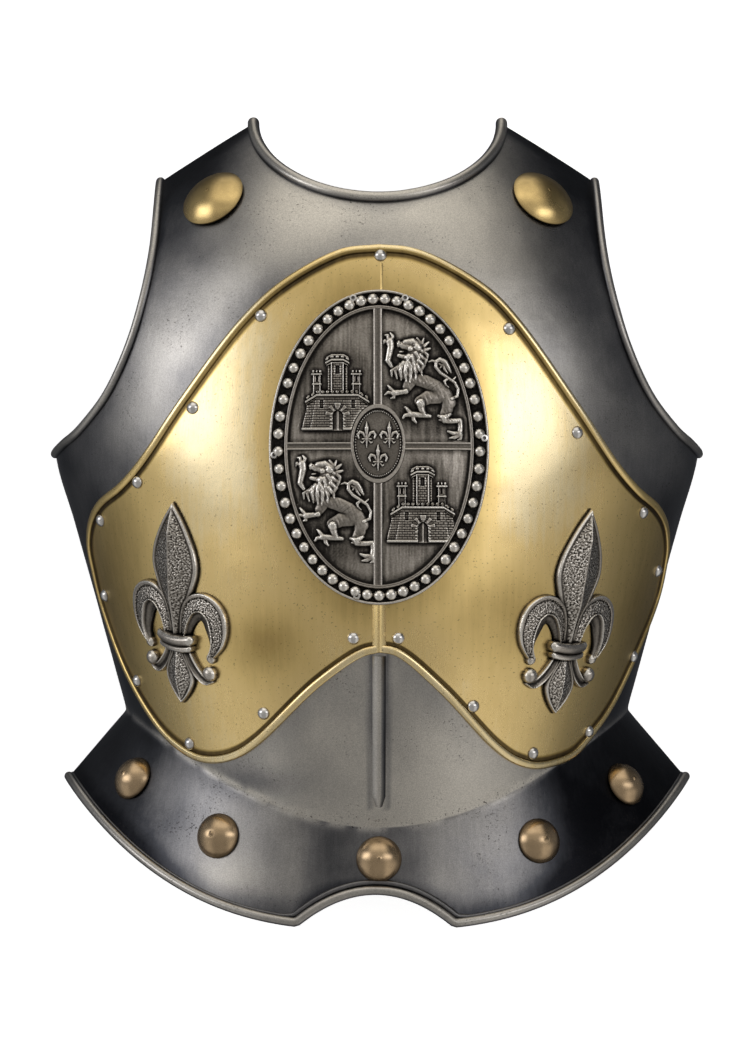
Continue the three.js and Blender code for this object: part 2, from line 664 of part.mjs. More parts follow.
function medallionSolid() {
  const floor = mountFloor + medallion.lift;
  const face = floor + medallion.thickness;
  const base = medallionBase(floor, face);
  const shifted = (points, { x, y }) => points.map(([u, v]) => ({ x: u + x, y: v + y + medallion.y }));
  const parts = [base];
  const inner = (grow) => oval(innerRim.halfWidth + grow, innerRim.halfHeight + grow, 24);
  parts.push(raised(inner(0), face - rootDepth, face + innerRim.rise, [inner(-innerRim.width)]));
  const { vertical, horizontal, x: barX, y: barY, rise } = crossBar;
  const [farX, farY] = [innerRim.halfWidth - 1, innerRim.halfHeight - 1];
  const bar = (left, right, low, high) => [[left, low], [right, low], [right, high], [left, high]];
  parts.push(...[[-farY, 0], [0, farY]].map(([low, high]) => raised(
    shifted(bar(barX - vertical / 2, barX + vertical / 2, low, high), { x: 0, y: 0 }), face - rootDepth, face + rise,
  )));
  parts.push(...[[-farX, 0], [0, farX]].map(([left, right]) => raised(
    shifted(bar(left, right, barY - horizontal / 2, barY + horizontal / 2), { x: 0, y: 0 }), face - rootDepth, face + rise,
  )));
  for (const place of castlePlaces) {
    parts.push(raised(shifted(castleOutline, place), face - rootDepth, face + reliefRise, [shifted(castleDoor, place)]));
  }
  for (const place of lionPlaces) {
    for (const stroke of Object.values(lionStrokes)) {
      parts.push(raised(shifted(strokeOutline(stroke), place), face - rootDepth, face + reliefRise));
    }
  }
  const centre = { x: shield.x, y: medallion.y + shield.y };
  parts.push(raised(oval(shield.halfWidth, shield.halfHeight, 14, centre.x, centre.y), face - rootDepth, face + shield.rise));
  for (const { x, y } of tinyFleurPlaces) {
    parts.push(raised(
      tinyFleur.map(([u, v]) => ({ x: centre.x + x + u, y: centre.y + y + v })),
      face + shield.rise - 0.5, face + shield.rise + 1,
    ));
  }
  for (let i = 0; i < pearl.count; i++) {
    parts.push(pearlSolid(i, face));
  }
  return joined(parts);
}

// The cast ground follows the chest: rings of an oval fan, thickened.
function medallionBase(low, high) {
  const around = 24;
  const rings = [0.5, 1];
  const places = [chestAt(0, medallion.y)];
  for (const grow of rings) {
    places.push(...oval(medallion.halfWidth * grow, medallion.halfHeight * grow, around)
      .map(({ x, y }) => chestAt(x, y)));
  }
  const skin = (height) => places.map(({ point, normal }) => point.clone().addScaledVector(normal, height));
  const points = [...skin(high), ...skin(low)];
  const under = places.length;
  const faces = [];
  const both = (a, b, c) => faces.push([a, c, b], [under + a, under + b, under + c]);
  for (let i = 0; i < around; i++) {
    const next = (i + 1) % around;
    both(0, 1 + i, 1 + next);
    for (let k = 1; k < rings.length; k++) {
      const [inner, outer] = [1 + (k - 1) * around, 1 + k * around];
      both(inner + i, outer + i, outer + next);
      both(inner + i, outer + next, inner + next);
    }
    const last = 1 + (rings.length - 1) * around;
    faces.push([last + i, last + next, under + last + next], [last + i, under + last + next, under + last + i]);
  }
  return solid(geometryOf(points, faces));
}

function pearlSolid(i, face) {
  const angle = (2 * Math.PI * i) / pearl.count + Math.PI;
  const place = chestAt(pearl.halfWidth * Math.sin(angle), medallion.y + pearl.halfHeight * Math.cos(angle));
  const { radius } = pearl;
  return turned([[0, face - rootDepth], [radius, face - rootDepth], [0, face + pearl.rise]], pearl.sides, place);
}

// ---------------------------------------------------------------- brass overlay

function brassCurve() {
  const half = (points) => new THREE.CatmullRomCurve3(points, false, 'centripetal').getSpacedPoints(brassSteps);
  const right = brassRight.map(({ x, y }) => vec(x, y, 0));
  const left = brassLeft.map(({ x, y }) => vec(x, y, 0));
  return [...half(right), ...half([right.at(-1), ...left, right[0]]).slice(1, -1)];
}

function ribSolid(topY, endY, floor) {
  const steps = 6;
  const stations = Array.from({ length: steps + 1 }, (_, i) => {
    const share = i / steps;
    const { point, normal } = chestAt(0, THREE.MathUtils.lerp(topY, endY, share));
    return { point: point.addScaledVector(normal, floor), across: vec(1, 0, 0), up: normal };
  });
  return solid(sweep(stations, [[-rib.halfWidth, -0.6], [rib.halfWidth, -0.6], [0, rib.height]]));
}

// ---------------------------------------------------------------- assembly

const group = new THREE.Group();
const rivetSpots = rivetPlaces.map(({ x, y }) => chestAt(x, y));
const pinSpots = pinPlaces.map(({ x, y }) => chestAt(x, y));
const shoulderSpots = shoulderBossPlaces.map(({ x, y }) => chestAt(x, y));
const flangeSpots = flangeBossPlaces.map(({ side, down }) => flange(side, down));
const fleurs = fleurPlaces.map((place) => ({ name: place.name, ...fleurBody(place) }));
const studSpots = fleurs.flatMap(({ studs }) => studs);

// Round shanks stand in punched square holes. A rivet's head also flattens the bead that it touches.
const squared = (radius) => (radius + gap) / Math.SQRT1_2;
const punched = (radius) => (place) => hole(squared(radius), 4, place);
function riveted(place) {
  const [shank, head] = [squared(rivet.shank), squared(rivet.head)];
  const bed = brassFace + 0.1;
  return turned([
    [0, -holeReach], [shank, -holeReach], [shank, bed], [head, bed], [head, holeReach], [0, holeReach],
  ], 4, place);
}
const brassHoles = [
  ...rivetSpots.map(riveted),
  ...pinSpots.map(punched(pin.radius)),
  ...studSpots.map(punched(fleur.studRadius)),
];
const steelHoles = [...brassHoles, ...[...shoulderSpots, ...flangeSpots].map(punched(flangeBoss.post))];

function steelSolid() {
  const plate = solid(wall([...flangeGrid, crease, ...chestGrid], -steelWall, 0));
  const top = chestGrid.at(-1);
  const middle = columns.half;
  const neckPlaces = top.slice(middle - columns.neck, middle + columns.neck + 1);
  const sideOf = (column) => chestGrid.slice(rows.side - 1).map((row) => row[column]);
  const rolls = [
    rolledEdge(neckPlaces, neckRoll),
    rolledEdge(sideOf(0), armholeRoll),
    rolledEdge(sideOf(2 * columns.half), armholeRoll),
    rolledEdge(flangeGrid[0], rimRoll),
    ribSolid(rib.topY, rib.endY, 0),
  ];
  const below = solid(new THREE.BoxGeometry(600, 600, 50).translate(0, 0, -25));
  return joined([plate, ...rolls]).subtract(below).subtract(joined(steelHoles));
}

function brassSolid() {
  const outline = brassCurve();
  const sheet = solid(wall([crease, ...chestGrid], brassFloor, brassFace));
  const shape = new THREE.Shape(outline.map(({ x, y }) => new THREE.Vector2(x, y)));
  const prism = solid(new THREE.ExtrudeGeometry(shape, { depth: 240, bevelEnabled: false }));
  const stations = stationsAlong(outline.map(({ x, y }) => {
    const { point, normal } = chestAt(x, y);
    return { point: point.addScaledVector(normal, brassFloor + 0.75 * brassWall), normal };
  }), true);
  const { width, height } = brassBead;
  const section = [[-0.5, 0], [width, 0], [width / 2, height]];
  const bead = solid(sweep(stations, section, true));
  return joined([sheet.intersect(prism), bead, ribSolid(brassRib.topY, brassRib.endY, brassFace)])
    .subtract(joined(brassHoles));
}

group.add(meshOf('breastplate', steelSolid(), steel));
group.add(meshOf('brass_plate', brassSolid(), brass));
rivetSpots.forEach((place, i) => {
  group.add(meshOf(`rivet_${i + 1}`, rivetSolid(place), rivetSteel));
});
shoulderSpots.forEach((place, i) => {
  group.add(meshOf(`shoulder_boss_${i + 1}`, bossSolid(shoulderBoss, place), bossBrass));
});
flangeSpots.forEach((place, i) => {
  group.add(meshOf(`fauld_boss_${i + 1}`, bossSolid(flangeBoss, place), bronze));
});
const pinHoles = pinSpots.map((place) => hole((pin.radius + gap) / Math.SQRT1_2, 4, place));
group.add(meshOf('medallion', medallionSolid().subtract(joined(pinHoles)), pewter));
pinSpots.forEach((place, i) => {
  group.add(meshOf(`medallion_pin_${i + 1}`, pinSolid(place), rivetSteel));
});
for (const { name, body } of fleurs) {
  group.add(meshOf(`fleur_de_lis_${name}`, body, pewter));
}

// The middle of the whole, seen from above, is put on the origin.
const extent = new THREE.Box3().setFromObject(group);
group.position.y = -(extent.min.y + extent.max.y) / 2;

export default group;
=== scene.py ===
# Steel breastplate of a cuirass: hammered plate, riveted brass overlay, cast medallion and
# fleurs-de-lis, domed bosses. Shapes are worked out in millimetres from the same driving sizes as
# the solids, whose y = 0 lies ORIGIN_Y above the row's origin, and are turned into metres at the end.
import math

import bpy
import numpy as np
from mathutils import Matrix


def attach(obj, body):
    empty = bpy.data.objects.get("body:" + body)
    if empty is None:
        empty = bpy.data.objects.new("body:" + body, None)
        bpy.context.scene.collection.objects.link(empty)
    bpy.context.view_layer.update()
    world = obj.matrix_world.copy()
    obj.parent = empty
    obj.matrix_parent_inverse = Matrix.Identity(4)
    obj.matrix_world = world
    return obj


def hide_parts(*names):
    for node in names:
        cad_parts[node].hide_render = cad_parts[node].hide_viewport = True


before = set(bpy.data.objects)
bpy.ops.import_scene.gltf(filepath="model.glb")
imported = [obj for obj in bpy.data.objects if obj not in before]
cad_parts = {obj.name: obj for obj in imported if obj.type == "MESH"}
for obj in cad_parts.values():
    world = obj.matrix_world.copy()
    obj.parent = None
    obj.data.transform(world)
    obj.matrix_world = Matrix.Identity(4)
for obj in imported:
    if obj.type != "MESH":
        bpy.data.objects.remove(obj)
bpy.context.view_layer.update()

# ------------------------------------------------------------------ driving sizes, in millimetres

ORIGIN_Y = -3.61
STEEL_WALL = 1.5
BRASS_WALL = 0.9
GAP = 0.3
BRASS_FLOOR = GAP
BRASS_FACE = BRASS_FLOOR + BRASS_WALL
MOUNT_FLOOR = BRASS_FACE + GAP
GROUND = MOUNT_FLOOR + 2.6          # height of the medallion's ground above the chest
TAIL = -STEEL_WALL - GAP - 1.5      # where the headed ends behind the plate begin

WAIST_Y = -111
ARMHOLE_Y = 42
WAIST_DIP = 64.5

# Level sections of the chest are half ellipses: y, half width, crest.
CHEST = [
    (-185, 129.4, 137), (-150, 139.1, 151), (-111, 150.0, 160), (-75, 160.0, 165), (0, 180.9, 163.5),
    (42, 192.6, 159), (80, 192, 154), (120, 184, 147), (160, 168, 136), (185, 154, 124),
    (200, 142, 112), (220, 121, 88), (243, 97, 51),
]
NECK = dict(y=238, half_width=73.5, depth=48.2)
ARMHOLE = [      # x, y from the lower corner up to the shoulder
    (192.6, 42), (184.4, 48.6), (175.6, 55.5), (158.9, 76), (145.6, 104), (137.1, 132.5),
    (131.7, 161), (128.7, 203),
]
RIM = dict(tip_x=183.5, tip_y=-150.5, low_y=-232.3, power=2.8, span=187, crest=152, sink=3)
ARCH = dict(x=-2, half_width=46, top_y=-211.8)
FLANGE_SAG = 1.5
NECK_ROLL = 3.5
ARMHOLE_ROLL = 2.8
RIM_ROLL = 2.8
ARCH_SHARE = 0.3                    # of a half row of the plate
NECK_SHARE = 0.7
SIDE_SHARE = 4 / 11                 # of the plate's height, from crease to armhole

# Outer edge of the brass overlay: x, y up its right side from the notch, and down its left side.
BRASS_RIGHT = [
    (0, -74), (9.6, -76), (34.5, -97), (66, -130.5), (78, -139), (90, -142.5), (102, -141),
    (113.3, -136.5), (125.3, -124), (136, -109.5), (150, -82), (165.3, -45), (170, -24),
    (171.5, -9.5), (169.3, 3.3), (163.8, 12.2), (152.3, 21.5), (140, 35), (116, 70), (81, 119),
    (64, 136.5), (35, 154), (18, 160), (0, 161.7),
]
BRASS_LEFT = [
    (-22.4, 158.8), (-57, 140), (-80.4, 118.3), (-115.4, 72), (-139, 37.3), (-151, 24), (-163.5, 14),
    (-168.8, 4.3), (-170.6, -9.5), (-167.6, -27.3), (-161.5, -51.3), (-146.6, -90.3), (-128, -120.5),
    (-116, -132), (-104, -138.3), (-92.3, -139), (-80.5, -135.5), (-68.7, -127.5), (-34, -93.7),
    (-9.5, -76.5),
]
BEAD = dict(width=4.8, height=1.8)

RIB = dict(top_y=-76, end_y=-163.5, half_width=4.2, height=2.4)
BRASS_RIB = dict(top_y=-46, end_y=-73.5)
RIDGE = dict(top_y=150.5, end_y=134)

RIVET = dict(head=3.8, rise=2.5, shank=2, tail=3.4, tail_rise=1.4)
RIVETS = [
    (1, 155.3), (-68, 120.5), (-107.5, 67.3), (-139.8, 24.5), (-162, 2.4), (-160, -42), (-140.5, -92),
    (-109.2, -128), (-66.2, -109.3), (-14.6, -65.6), (75.3, 113), (114.8, 53), (154.6, 7),
    (164.6, -27.4), (150, -78.2), (122.5, -121.6), (89, -133.2), (54, -105.1), (11, -65.6),
]
SHOULDER_BOSS = dict(radius=19.5, rise=7.8)
SHOULDER_BOSSES = [(-96.5, 190.5), (96.5, 190.5)]
FLANGE_BOSS = dict(radius=13.2, rise=8.4)
FLANGE_BOSSES = [      # share of the half width, share of the way from crease to rim
    (-0.742, 0.472), (-0.465, 0.475), (0.006, 0.507), (0.471, 0.517), (0.747, 0.532),
]
SEAT = 1.0

MEDALLION = dict(y=44, half_width=62.6, half_height=90.6)
PEARL = dict(count=53, radius=3.5, half_width=57.2, half_height=85.2)
INNER_RIM = dict(half_width=53.2, half_height=80.8, width=2.2)
CROSS = dict(x=-0.7, y=0.3, vertical=5.2, horizontal=4.6)
SHIELD = dict(half_width=15.6, half_height=23.1, x=-0.6, y=1.6)
CASTLES = [(-23.5, 9.6), (24.4, -54.8)]
LIONS = [(0, 0), (-49.6, -70.4)]
PINS = [(-14.6, 129.5), (14.8, 129.5), (59.4, 49), (-59.2, 39.3), (-12.5, -41.3), (13.8, -39.6)]
PIN_TOP = GROUND + 1.7

FLEUR_BASE = MOUNT_FLOOR + 0.5
FLEURS = [dict(name="left", turn=-43.5, y=-46, lean=11), dict(name="right", turn=41.6, y=-51, lean=0)]

PLATE_RADIUS = 160                  # about the chest's radius, for distances round it
BRASS_RADIUS = 165


# ------------------------------------------------------------------ curves and noise

def hermite(t, start, end, start_slope, end_slope, width=1):
    """The cubic over t from 0 to 1 with the given ends and slopes there."""
    return ((2 * t**3 - 3 * t**2 + 1) * start + (t**3 - 2 * t**2 + t) * width * start_slope
            + (3 * t**2 - 2 * t**3) * end + (t**3 - t**2) * width * end_slope)


def smooth(rows):
    """A smooth value down a table of (level, value) rows, with a slope carried through each row."""
    levels, values = np.array(rows, float).T
    width = np.diff(levels)
    step = np.diff(values) / width
    middle = (step[:-1] * width[1:] + step[1:] * width[:-1]) / (width[:-1] + width[1:])
    slope = np.concatenate([step[:1], middle, step[-1:]])

    def at(level):
        level = np.asarray(level, float)
        i = np.clip(np.searchsorted(levels, level) - 1, 0, len(width) - 1)
        t = (level - levels[i]) / width[i]
        inside = hermite(t, values[i], values[i + 1], slope[i], slope[i + 1], width[i])
        below = values[0] + slope[0] * (level - levels[0])
        above = values[-1] + slope[-1] * (level - levels[-1])
        return np.where(t < 0, below, np.where(t > 1, above, inside))
    return at


def curve(points, steps):
    """Centripetal Catmull-Rom curve through the points."""
    p = np.array(points, float)
    p = np.vstack([2 * p[0] - p[1], p, 2 * p[-1] - p[-2]])
    out = []
    for i in range(1, len(p) - 2):
        p0, p1, p2, p3 = p[i - 1:i + 3]
        gaps = ((p0, p1), (p1, p2), (p2, p3))
        d0, d1, d2 = (max(np.linalg.norm(b - a), 1e-6) ** 0.5 for a, b in gaps)
        m1 = ((p1 - p0) / d0 - (p2 - p0) / (d0 + d1) + (p2 - p1) / d1) * d1
        m2 = ((p2 - p1) / d1 - (p3 - p1) / (d1 + d2) + (p3 - p2) / d2) * d1
        t = np.linspace(0, 1, steps, endpoint=False)[:, None]
        out.append(hermite(t, p1, p2, m1, m2))
    return np.vstack(out + [p[-2:-1]])


def spaced(points, shares):
    """Places along a dense line at shares of its length."""
    run = np.concatenate([[0], np.cumsum(np.linalg.norm(np.diff(points, axis=0), axis=1))])
    at = np.asarray(shares) * run[-1]
    return np.stack([np.interp(at, run, points[:, k]) for k in range(points.shape[1])], axis=-1)


def noise(x, y, size, seed):
    """Smooth noise from -1 to 1 over a plane, with hills about size apart."""
    side = 97                           # the lattice repeats after this many hills
    lattice = np.random.default_rng(seed).uniform(-1, 1, (side, side))
    u, v = np.asarray(x) / size, np.asarray(y) / size
    i, j = np.floor(u).astype(int), np.floor(v).astype(int)
    a, b = u - i, v - j
    a, b = a * a * (3 - 2 * a), b * b * (3 - 2 * b)
    low, high = (lattice[i % side, row % side] * (1 - a) + lattice[(i + 1) % side, row % side] * a
                 for row in (j, j + 1))
    return low * (1 - b) + high * b


def step(low, high, value):
    """0 below low, 1 above high, smooth between; low may be the larger."""
    t = np.clip((np.asarray(value, float) - low) / (high - low), 0, 1)
    return t * t * (3 - 2 * t)


def blob(x, y, centre, size):
    return np.exp(-((x - centre[0]) / size[0]) ** 2 - ((y - centre[1]) / size[1]) ** 2)


def with_patches(level, x, y, spots):
    """Adds soft patches, each of amount, centre and size, to a level."""
    for amount, centre, size in spots:
        level = level + amount * blob(x, y, centre, size)
    return level


def oval_share(u, v, oval, margin=0.0):
    """0 in the middle of an oval, 1 at a margin outside its edge."""
    return np.hypot(u / (oval["half_width"] + margin), v / (oval["half_height"] + margin))


def unit(v):
    return v / np.linalg.norm(v, axis=-1, keepdims=True)


# ------------------------------------------------------------------ form of the plate

half_width_at = smooth([(y, w) for y, w, c in CHEST])
crest_at = smooth([(y, c) for y, w, c in CHEST])


def chest(turn, y, height=0.0):
    """Points at a height above the chest's front, and normals, by angle from the crest and level."""
    turn, y = np.broadcast_arrays(np.asarray(turn, float), np.asarray(y, float))
    width, crest = half_width_at(y), crest_at(y)
    width_slope = (half_width_at(y + 0.05) - half_width_at(y - 0.05)) / 0.1
    crest_slope = (crest_at(y + 0.05) - crest_at(y - 0.05)) / 0.1
    sin, cos = np.sin(turn), np.cos(turn)
    point = np.stack([width * sin, y, crest * cos], axis=-1)
    normal = np.stack([sin / width, -sin**2 * width_slope / width - cos**2 * crest_slope / crest,
                       cos / crest], axis=-1)
    normal = unit(normal)
    return point + normal * np.asarray(height, float)[..., None], normal


def turn_of(x, y):
    return np.arcsin(np.clip(x / half_width_at(y), -1, 1))


def chest_at(x, y, height=0.0):
    return chest(turn_of(x, y), y, height)


def crease_y(turn):
    return WAIST_Y - WAIST_DIP * np.cos(turn) ** 2


def rim_y(x):
    return RIM["low_y"] + (RIM["tip_y"] - RIM["low_y"]) * np.abs(x / RIM["tip_x"]) ** RIM["power"]


def rim_depth(x):
    return RIM["crest"] * np.sqrt(1 - (x / RIM["span"]) ** 2) - RIM["sink"]


def rim_point(share):
    """The flange's lower edge by share of its half width: first the arch, then the long edge."""
    hand = np.where(share < 0, -1.0, 1.0)
    corner = ARCH["x"] + hand * ARCH["half_width"]
    arch_x = ARCH["x"] + ARCH["half_width"] * share / ARCH_SHARE
    arch_y = ARCH["top_y"] + (rim_y(corner) - ARCH["top_y"]) * (share / ARCH_SHARE) ** 2
    along = np.clip((np.abs(share) - ARCH_SHARE) / (1 - ARCH_SHARE), 0, 1)
    first, final = np.arcsin(corner / RIM["span"]), hand * math.asin(RIM["tip_x"] / RIM["span"])
    edge_x = RIM["span"] * np.sin(first + (final - first) * along)
    inside = np.abs(share) <= ARCH_SHARE
    x = np.where(inside, arch_x, edge_x)
    y = np.where(inside, arch_y, rim_y(edge_x))
    return np.stack([x, y, rim_depth(x)], axis=-1)


crease_turns = np.linspace(-math.pi / 2, math.pi / 2, 400)
crease_line = chest(crease_turns, crease_y(crease_turns))[0]


def flange(share, down):
    """Points of the flange, its middle levelled so that no ridge runs up from the arch's corners."""
    share, down = np.broadcast_arrays(np.asarray(share, float), np.asarray(down, float))
    turn = share * math.pi / 2
    crease, _ = chest(turn, crease_y(turn))
    point = crease + (rim_point(share) - crease) * down[..., None]
    point[..., 2] -= 4 * FLANGE_SAG * down * (1 - down) * np.cos(turn)
    x, y, z = np.moveaxis(point, -1, 0)
    top = np.interp(x, crease_line[:, 0], crease_line[:, 1])
    start = np.interp(x, crease_line[:, 0], crease_line[:, 2])
    way = (top - y) / (top - rim_y(x))
    level = start + (rim_depth(x) - start) * way - 4 * FLANGE_SAG * way * (1 - way)
    point[..., 2] = z + (level - z) * step(98, 50, np.abs(x))
    return point


def flange_place(share, down):
    nudge = 0.01
    side = flange(share + nudge, down) - flange(share - nudge, down)
    up = flange(share, down - nudge) - flange(share, down + nudge)
    return flange(share, down), unit(np.cross(side, up))


neck_turns = np.linspace(0, math.pi / 2, 200)
neck_line = chest_at(NECK["half_width"] * np.sin(neck_turns),
                     NECK["y"] - NECK["depth"] * np.cos(neck_turns))[0]
armhole_line = curve([chest_at(x, y)[0] for x, y in ARMHOLE], 40)


def top_edge(s):
    on_neck = spaced(neck_line, np.clip(s / NECK_SHARE, 0, 1))
    along = np.clip((s - NECK_SHARE) / (1 - NECK_SHARE), 0, 1)[..., None]
    on_shoulder = neck_line[-1] + (armhole_line[-1] - neck_line[-1]) * along
    p = np.where((s <= NECK_SHARE)[..., None], on_neck, on_shoulder)
    return turn_of(p[..., 0], p[..., 1]), p[..., 1]


def outer_edge(t):
    on_armhole = spaced(armhole_line, np.clip((t - SIDE_SHARE) / (1 - SIDE_SHARE), 0, 1))
    side = t <= SIDE_SHARE
    turn = np.where(side, math.pi / 2, turn_of(on_armhole[..., 0], on_armhole[..., 1]))
    return turn, np.where(side, WAIST_Y + (ARMHOLE_Y - WAIST_Y) * t / SIDE_SHARE, on_armhole[..., 1])


def chest_patch(s, t):
    """A place inside the chest, its four boundary curves blended: (turn, y)."""
    s, t = np.broadcast_arrays(s, t)
    side = np.abs(s)
    bottom = (side * math.pi / 2, crease_y(side * math.pi / 2))
    top, outer = top_edge(side), outer_edge(t)
    first = [np.array([v]) for v in (0.0, 1.0)]
    corner = {k: (first[k] * math.pi / 2, crease_y(first[k] * math.pi / 2)) for k in (0, 1)}
    peak = {k: top_edge(first[k]) for k in (0, 1)}
    middle = (0.0, corner[0][1] + (peak[0][1] - corner[0][1]) * t)
    out = []
    for k in (0, 1):
        out.append((1 - t) * bottom[k] + t * top[k] + (1 - side) * middle[k] + side * outer[k]
                   - (1 - side) * (1 - t) * corner[0][k] - side * (1 - t) * corner[1][k]
                   - (1 - side) * t * peak[0][k] - side * t * peak[1][k])
    return np.sign(s) * out[0], out[1]


# ------------------------------------------------------------------ meshes

def cells(grid):
    """The four corners of each cell between a grid's points."""
    return np.stack([grid[:-1, :-1], grid[:-1, 1:], grid[1:, 1:], grid[1:, :-1]], axis=-1)


class Shape:
    """Points, faces and two masks for each point, gathered for one mesh, in millimetres."""

    def __init__(self):
        self.points, self.faces, self.masks, self.marks, self.count = [], [], [], [], 0

    def add(self, points, mask=0.5, mark=0.0):
        points = np.asarray(points, float)
        index = np.arange(self.count, self.count + points[..., 0].size).reshape(points.shape[:-1])
        self.points.append(points.reshape(-1, 3))
        self.masks.append(np.broadcast_to(mask, points.shape[:-1]).reshape(-1))
        self.marks.append(np.broadcast_to(mark, points.shape[:-1]).reshape(-1))
        self.count += index.size
        return index

    def sheet(self, index, flip=False, wrap=False):
        if wrap:
            index = np.concatenate([index, index[:, :1]], axis=1)
        self.quads(cells(index).reshape(-1, 4), flip)

    def quads(self, quads, flip=False):
        self.faces.extend((quads[:, ::-1] if flip else quads).tolist())

    def fan(self, ring, centre, flip=False, mask=0.5):
        middle = int(self.add(np.asarray(centre, float).reshape(1, 3), mask)[0])
        ring = ring.tolist()
        for a, b in zip(ring, ring[1:] + ring[:1]):
            self.faces.append([middle, b, a] if flip else [middle, a, b])

    def mesh(self, title):
        points = np.vstack(self.points)
        points[:, 1] += ORIGIN_Y
        points[:, 2] = np.maximum(points[:, 2], 0)
        mesh = bpy.data.meshes.new(title)
        mesh.from_pydata((points / 1000).tolist(), [], self.faces)
        for name, values in (("mask", self.masks), ("mark", self.marks)):
            attribute = mesh.attributes.new(name, "FLOAT", "POINT")
            attribute.data.foreach_set("value", np.concatenate(values))
        return mesh


PLAIN_SHARP = 38                    # degrees between faces, above which their edge is sharp


def piece(name, shape, material, nodes, sharp=PLAIN_SHARP):
    """Finishes a shape as an object that rides on the part's one body in place of CAD nodes."""
    mesh = shape.mesh(name)
    mesh.validate()
    mesh.shade_smooth()
    mesh.set_sharp_from_angle(angle=math.radians(sharp))
    mesh.materials.append(material)
    obj = bpy.data.objects.new(name, mesh)
    bpy.context.scene.collection.objects.link(obj)
    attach(obj, "root")
    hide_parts(*nodes)


def grid_normals(points):
    return unit(np.cross(np.gradient(points, axis=1), np.gradient(points, axis=0)))


def sweep(shape, points, normals, section, sizes=None, mask=0.5, round_ends=False):
    """A closed section of (across, up) pairs carried along points on the plate, with capped ends."""
    sizes = np.ones(len(points)) if sizes is None else sizes
    way = unit(np.gradient(points, axis=0))
    across = unit(np.cross(normals, way))
    if round_ends:
        reach = np.abs(np.array(section)).max()
        turns = np.radians([90, 66, 40, 18])
        first = [points[0] - way[0] * reach * sizes[0] * math.sin(a) for a in turns]
        last = [points[-1] + way[-1] * reach * sizes[-1] * math.sin(a) for a in turns[::-1]]
        points = np.vstack([first, points, last])
        across, normals = (np.pad(rows, ((len(turns), len(turns)), (0, 0)), mode="edge")
                           for rows in (across, normals))
        shrink = np.maximum(np.cos(turns), 0.02)
        sizes = np.concatenate([sizes[0] * shrink, sizes, sizes[-1] * shrink[::-1]])
    section = np.array(section, float)
    rings = (points[:, None] + across[:, None] * (section[None, :, :1] * sizes[:, None, None])
             + normals[:, None] * (section[None, :, 1:] * sizes[:, None, None]))
    index = shape.add(rings, mask)
    shape.sheet(index, wrap=True)
    shape.faces += [index[0].tolist(), index[-1][::-1].tolist()]


def ring(sides, radius):
    angles = 2 * math.pi * (np.arange(sides) + 0.5) / sides
    return np.stack([radius * np.cos(angles), radius * np.sin(angles)], axis=1)


def turned(shape, place, profile, sides, mask=0.5, shade=None):
    """A turned piece standing on a place, from (radius, height) pairs that start and end on the axis.

    shade gives more mask for each point, from its offset from the place and the place's side.
    """
    point, normal = place
    aside = unit(np.cross([0.0, 1.0, 0.0], normal))
    other = np.cross(normal, aside)
    angles = 2 * math.pi * np.arange(sides) / sides
    spoke = np.cos(angles)[:, None] * aside + np.sin(angles)[:, None] * other
    inner = [(r, h) for r, h in profile if r > 1e-6]
    rows = np.array([point + spoke * r + normal * h for r, h in inner])
    masks = np.broadcast_to(mask, len(profile))
    level = np.repeat(masks[1:-1], sides).reshape(len(inner), sides)
    if shade is not None:
        level = np.clip(level + shade(rows - point, np.sign(point[0])), 0, 1)
    index = shape.add(rows, level)
    shape.sheet(index, wrap=True)
    shape.fan(index[0], point + normal * profile[0][1], flip=True, mask=masks[0])
    shape.fan(index[-1], point + normal * profile[-1][1], mask=masks[-1])


def dome(radius, rise, low, steps):
    """(radius, height) pairs up a dome no higher than its radius, from its rim at low to its top."""
    ball = (radius**2 + rise**2) / (2 * rise)
    edge = math.asin(min(radius / ball, 1))
    angles = [edge * (1 - i / steps) for i in range(steps)]
    top = (0, low + rise)
    return [(ball * math.sin(a), low + rise - ball + ball * math.cos(a)) for a in angles] + [top]


# ------------------------------------------------------------------ materials

class Nodes:
    """Short names for the nodes of one tree."""

    def __init__(self, tree):
        self.tree = tree

    def add(self, kind, **settings):
        node = self.tree.nodes.new(kind)
        for key, value in settings.items():
            setattr(node, key, value)
        return node

    def set(self, socket, value):
        if isinstance(value, bpy.types.NodeSocket):
            self.tree.links.new(value, socket)
        else:
            socket.default_value = value

    def fill(self, node, **values):
        """Sets inputs by their names, with _ for a space."""
        for key, value in values.items():
            self.set(node.inputs[key.replace("_", " ")], value)
        return node.outputs

    def math(self, kind, a, b=0.0, clamp=False):
        node = self.add("ShaderNodeMath", operation=kind, use_clamp=clamp)
        self.set(node.inputs[0], a)
        self.set(node.inputs[1], b)
        return node.outputs[0]

    def vector(self, kind, a, b):
        """A vector sum, or a vector scaled by a number."""
        node = self.add("ShaderNodeVectorMath", operation=kind)
        self.set(node.inputs[0], a)
        self.set(node.inputs["Scale" if kind == "SCALE" else 1], b)
        return node.outputs[0]

    def band(self, value, low, high, out_low=0.0, out_high=1.0):
        node = self.add("ShaderNodeMapRange", interpolation_type="SMOOTHSTEP")
        return self.fill(node, Value=value, From_Min=low, From_Max=high, To_Min=out_low,
                         To_Max=out_high)["Result"]


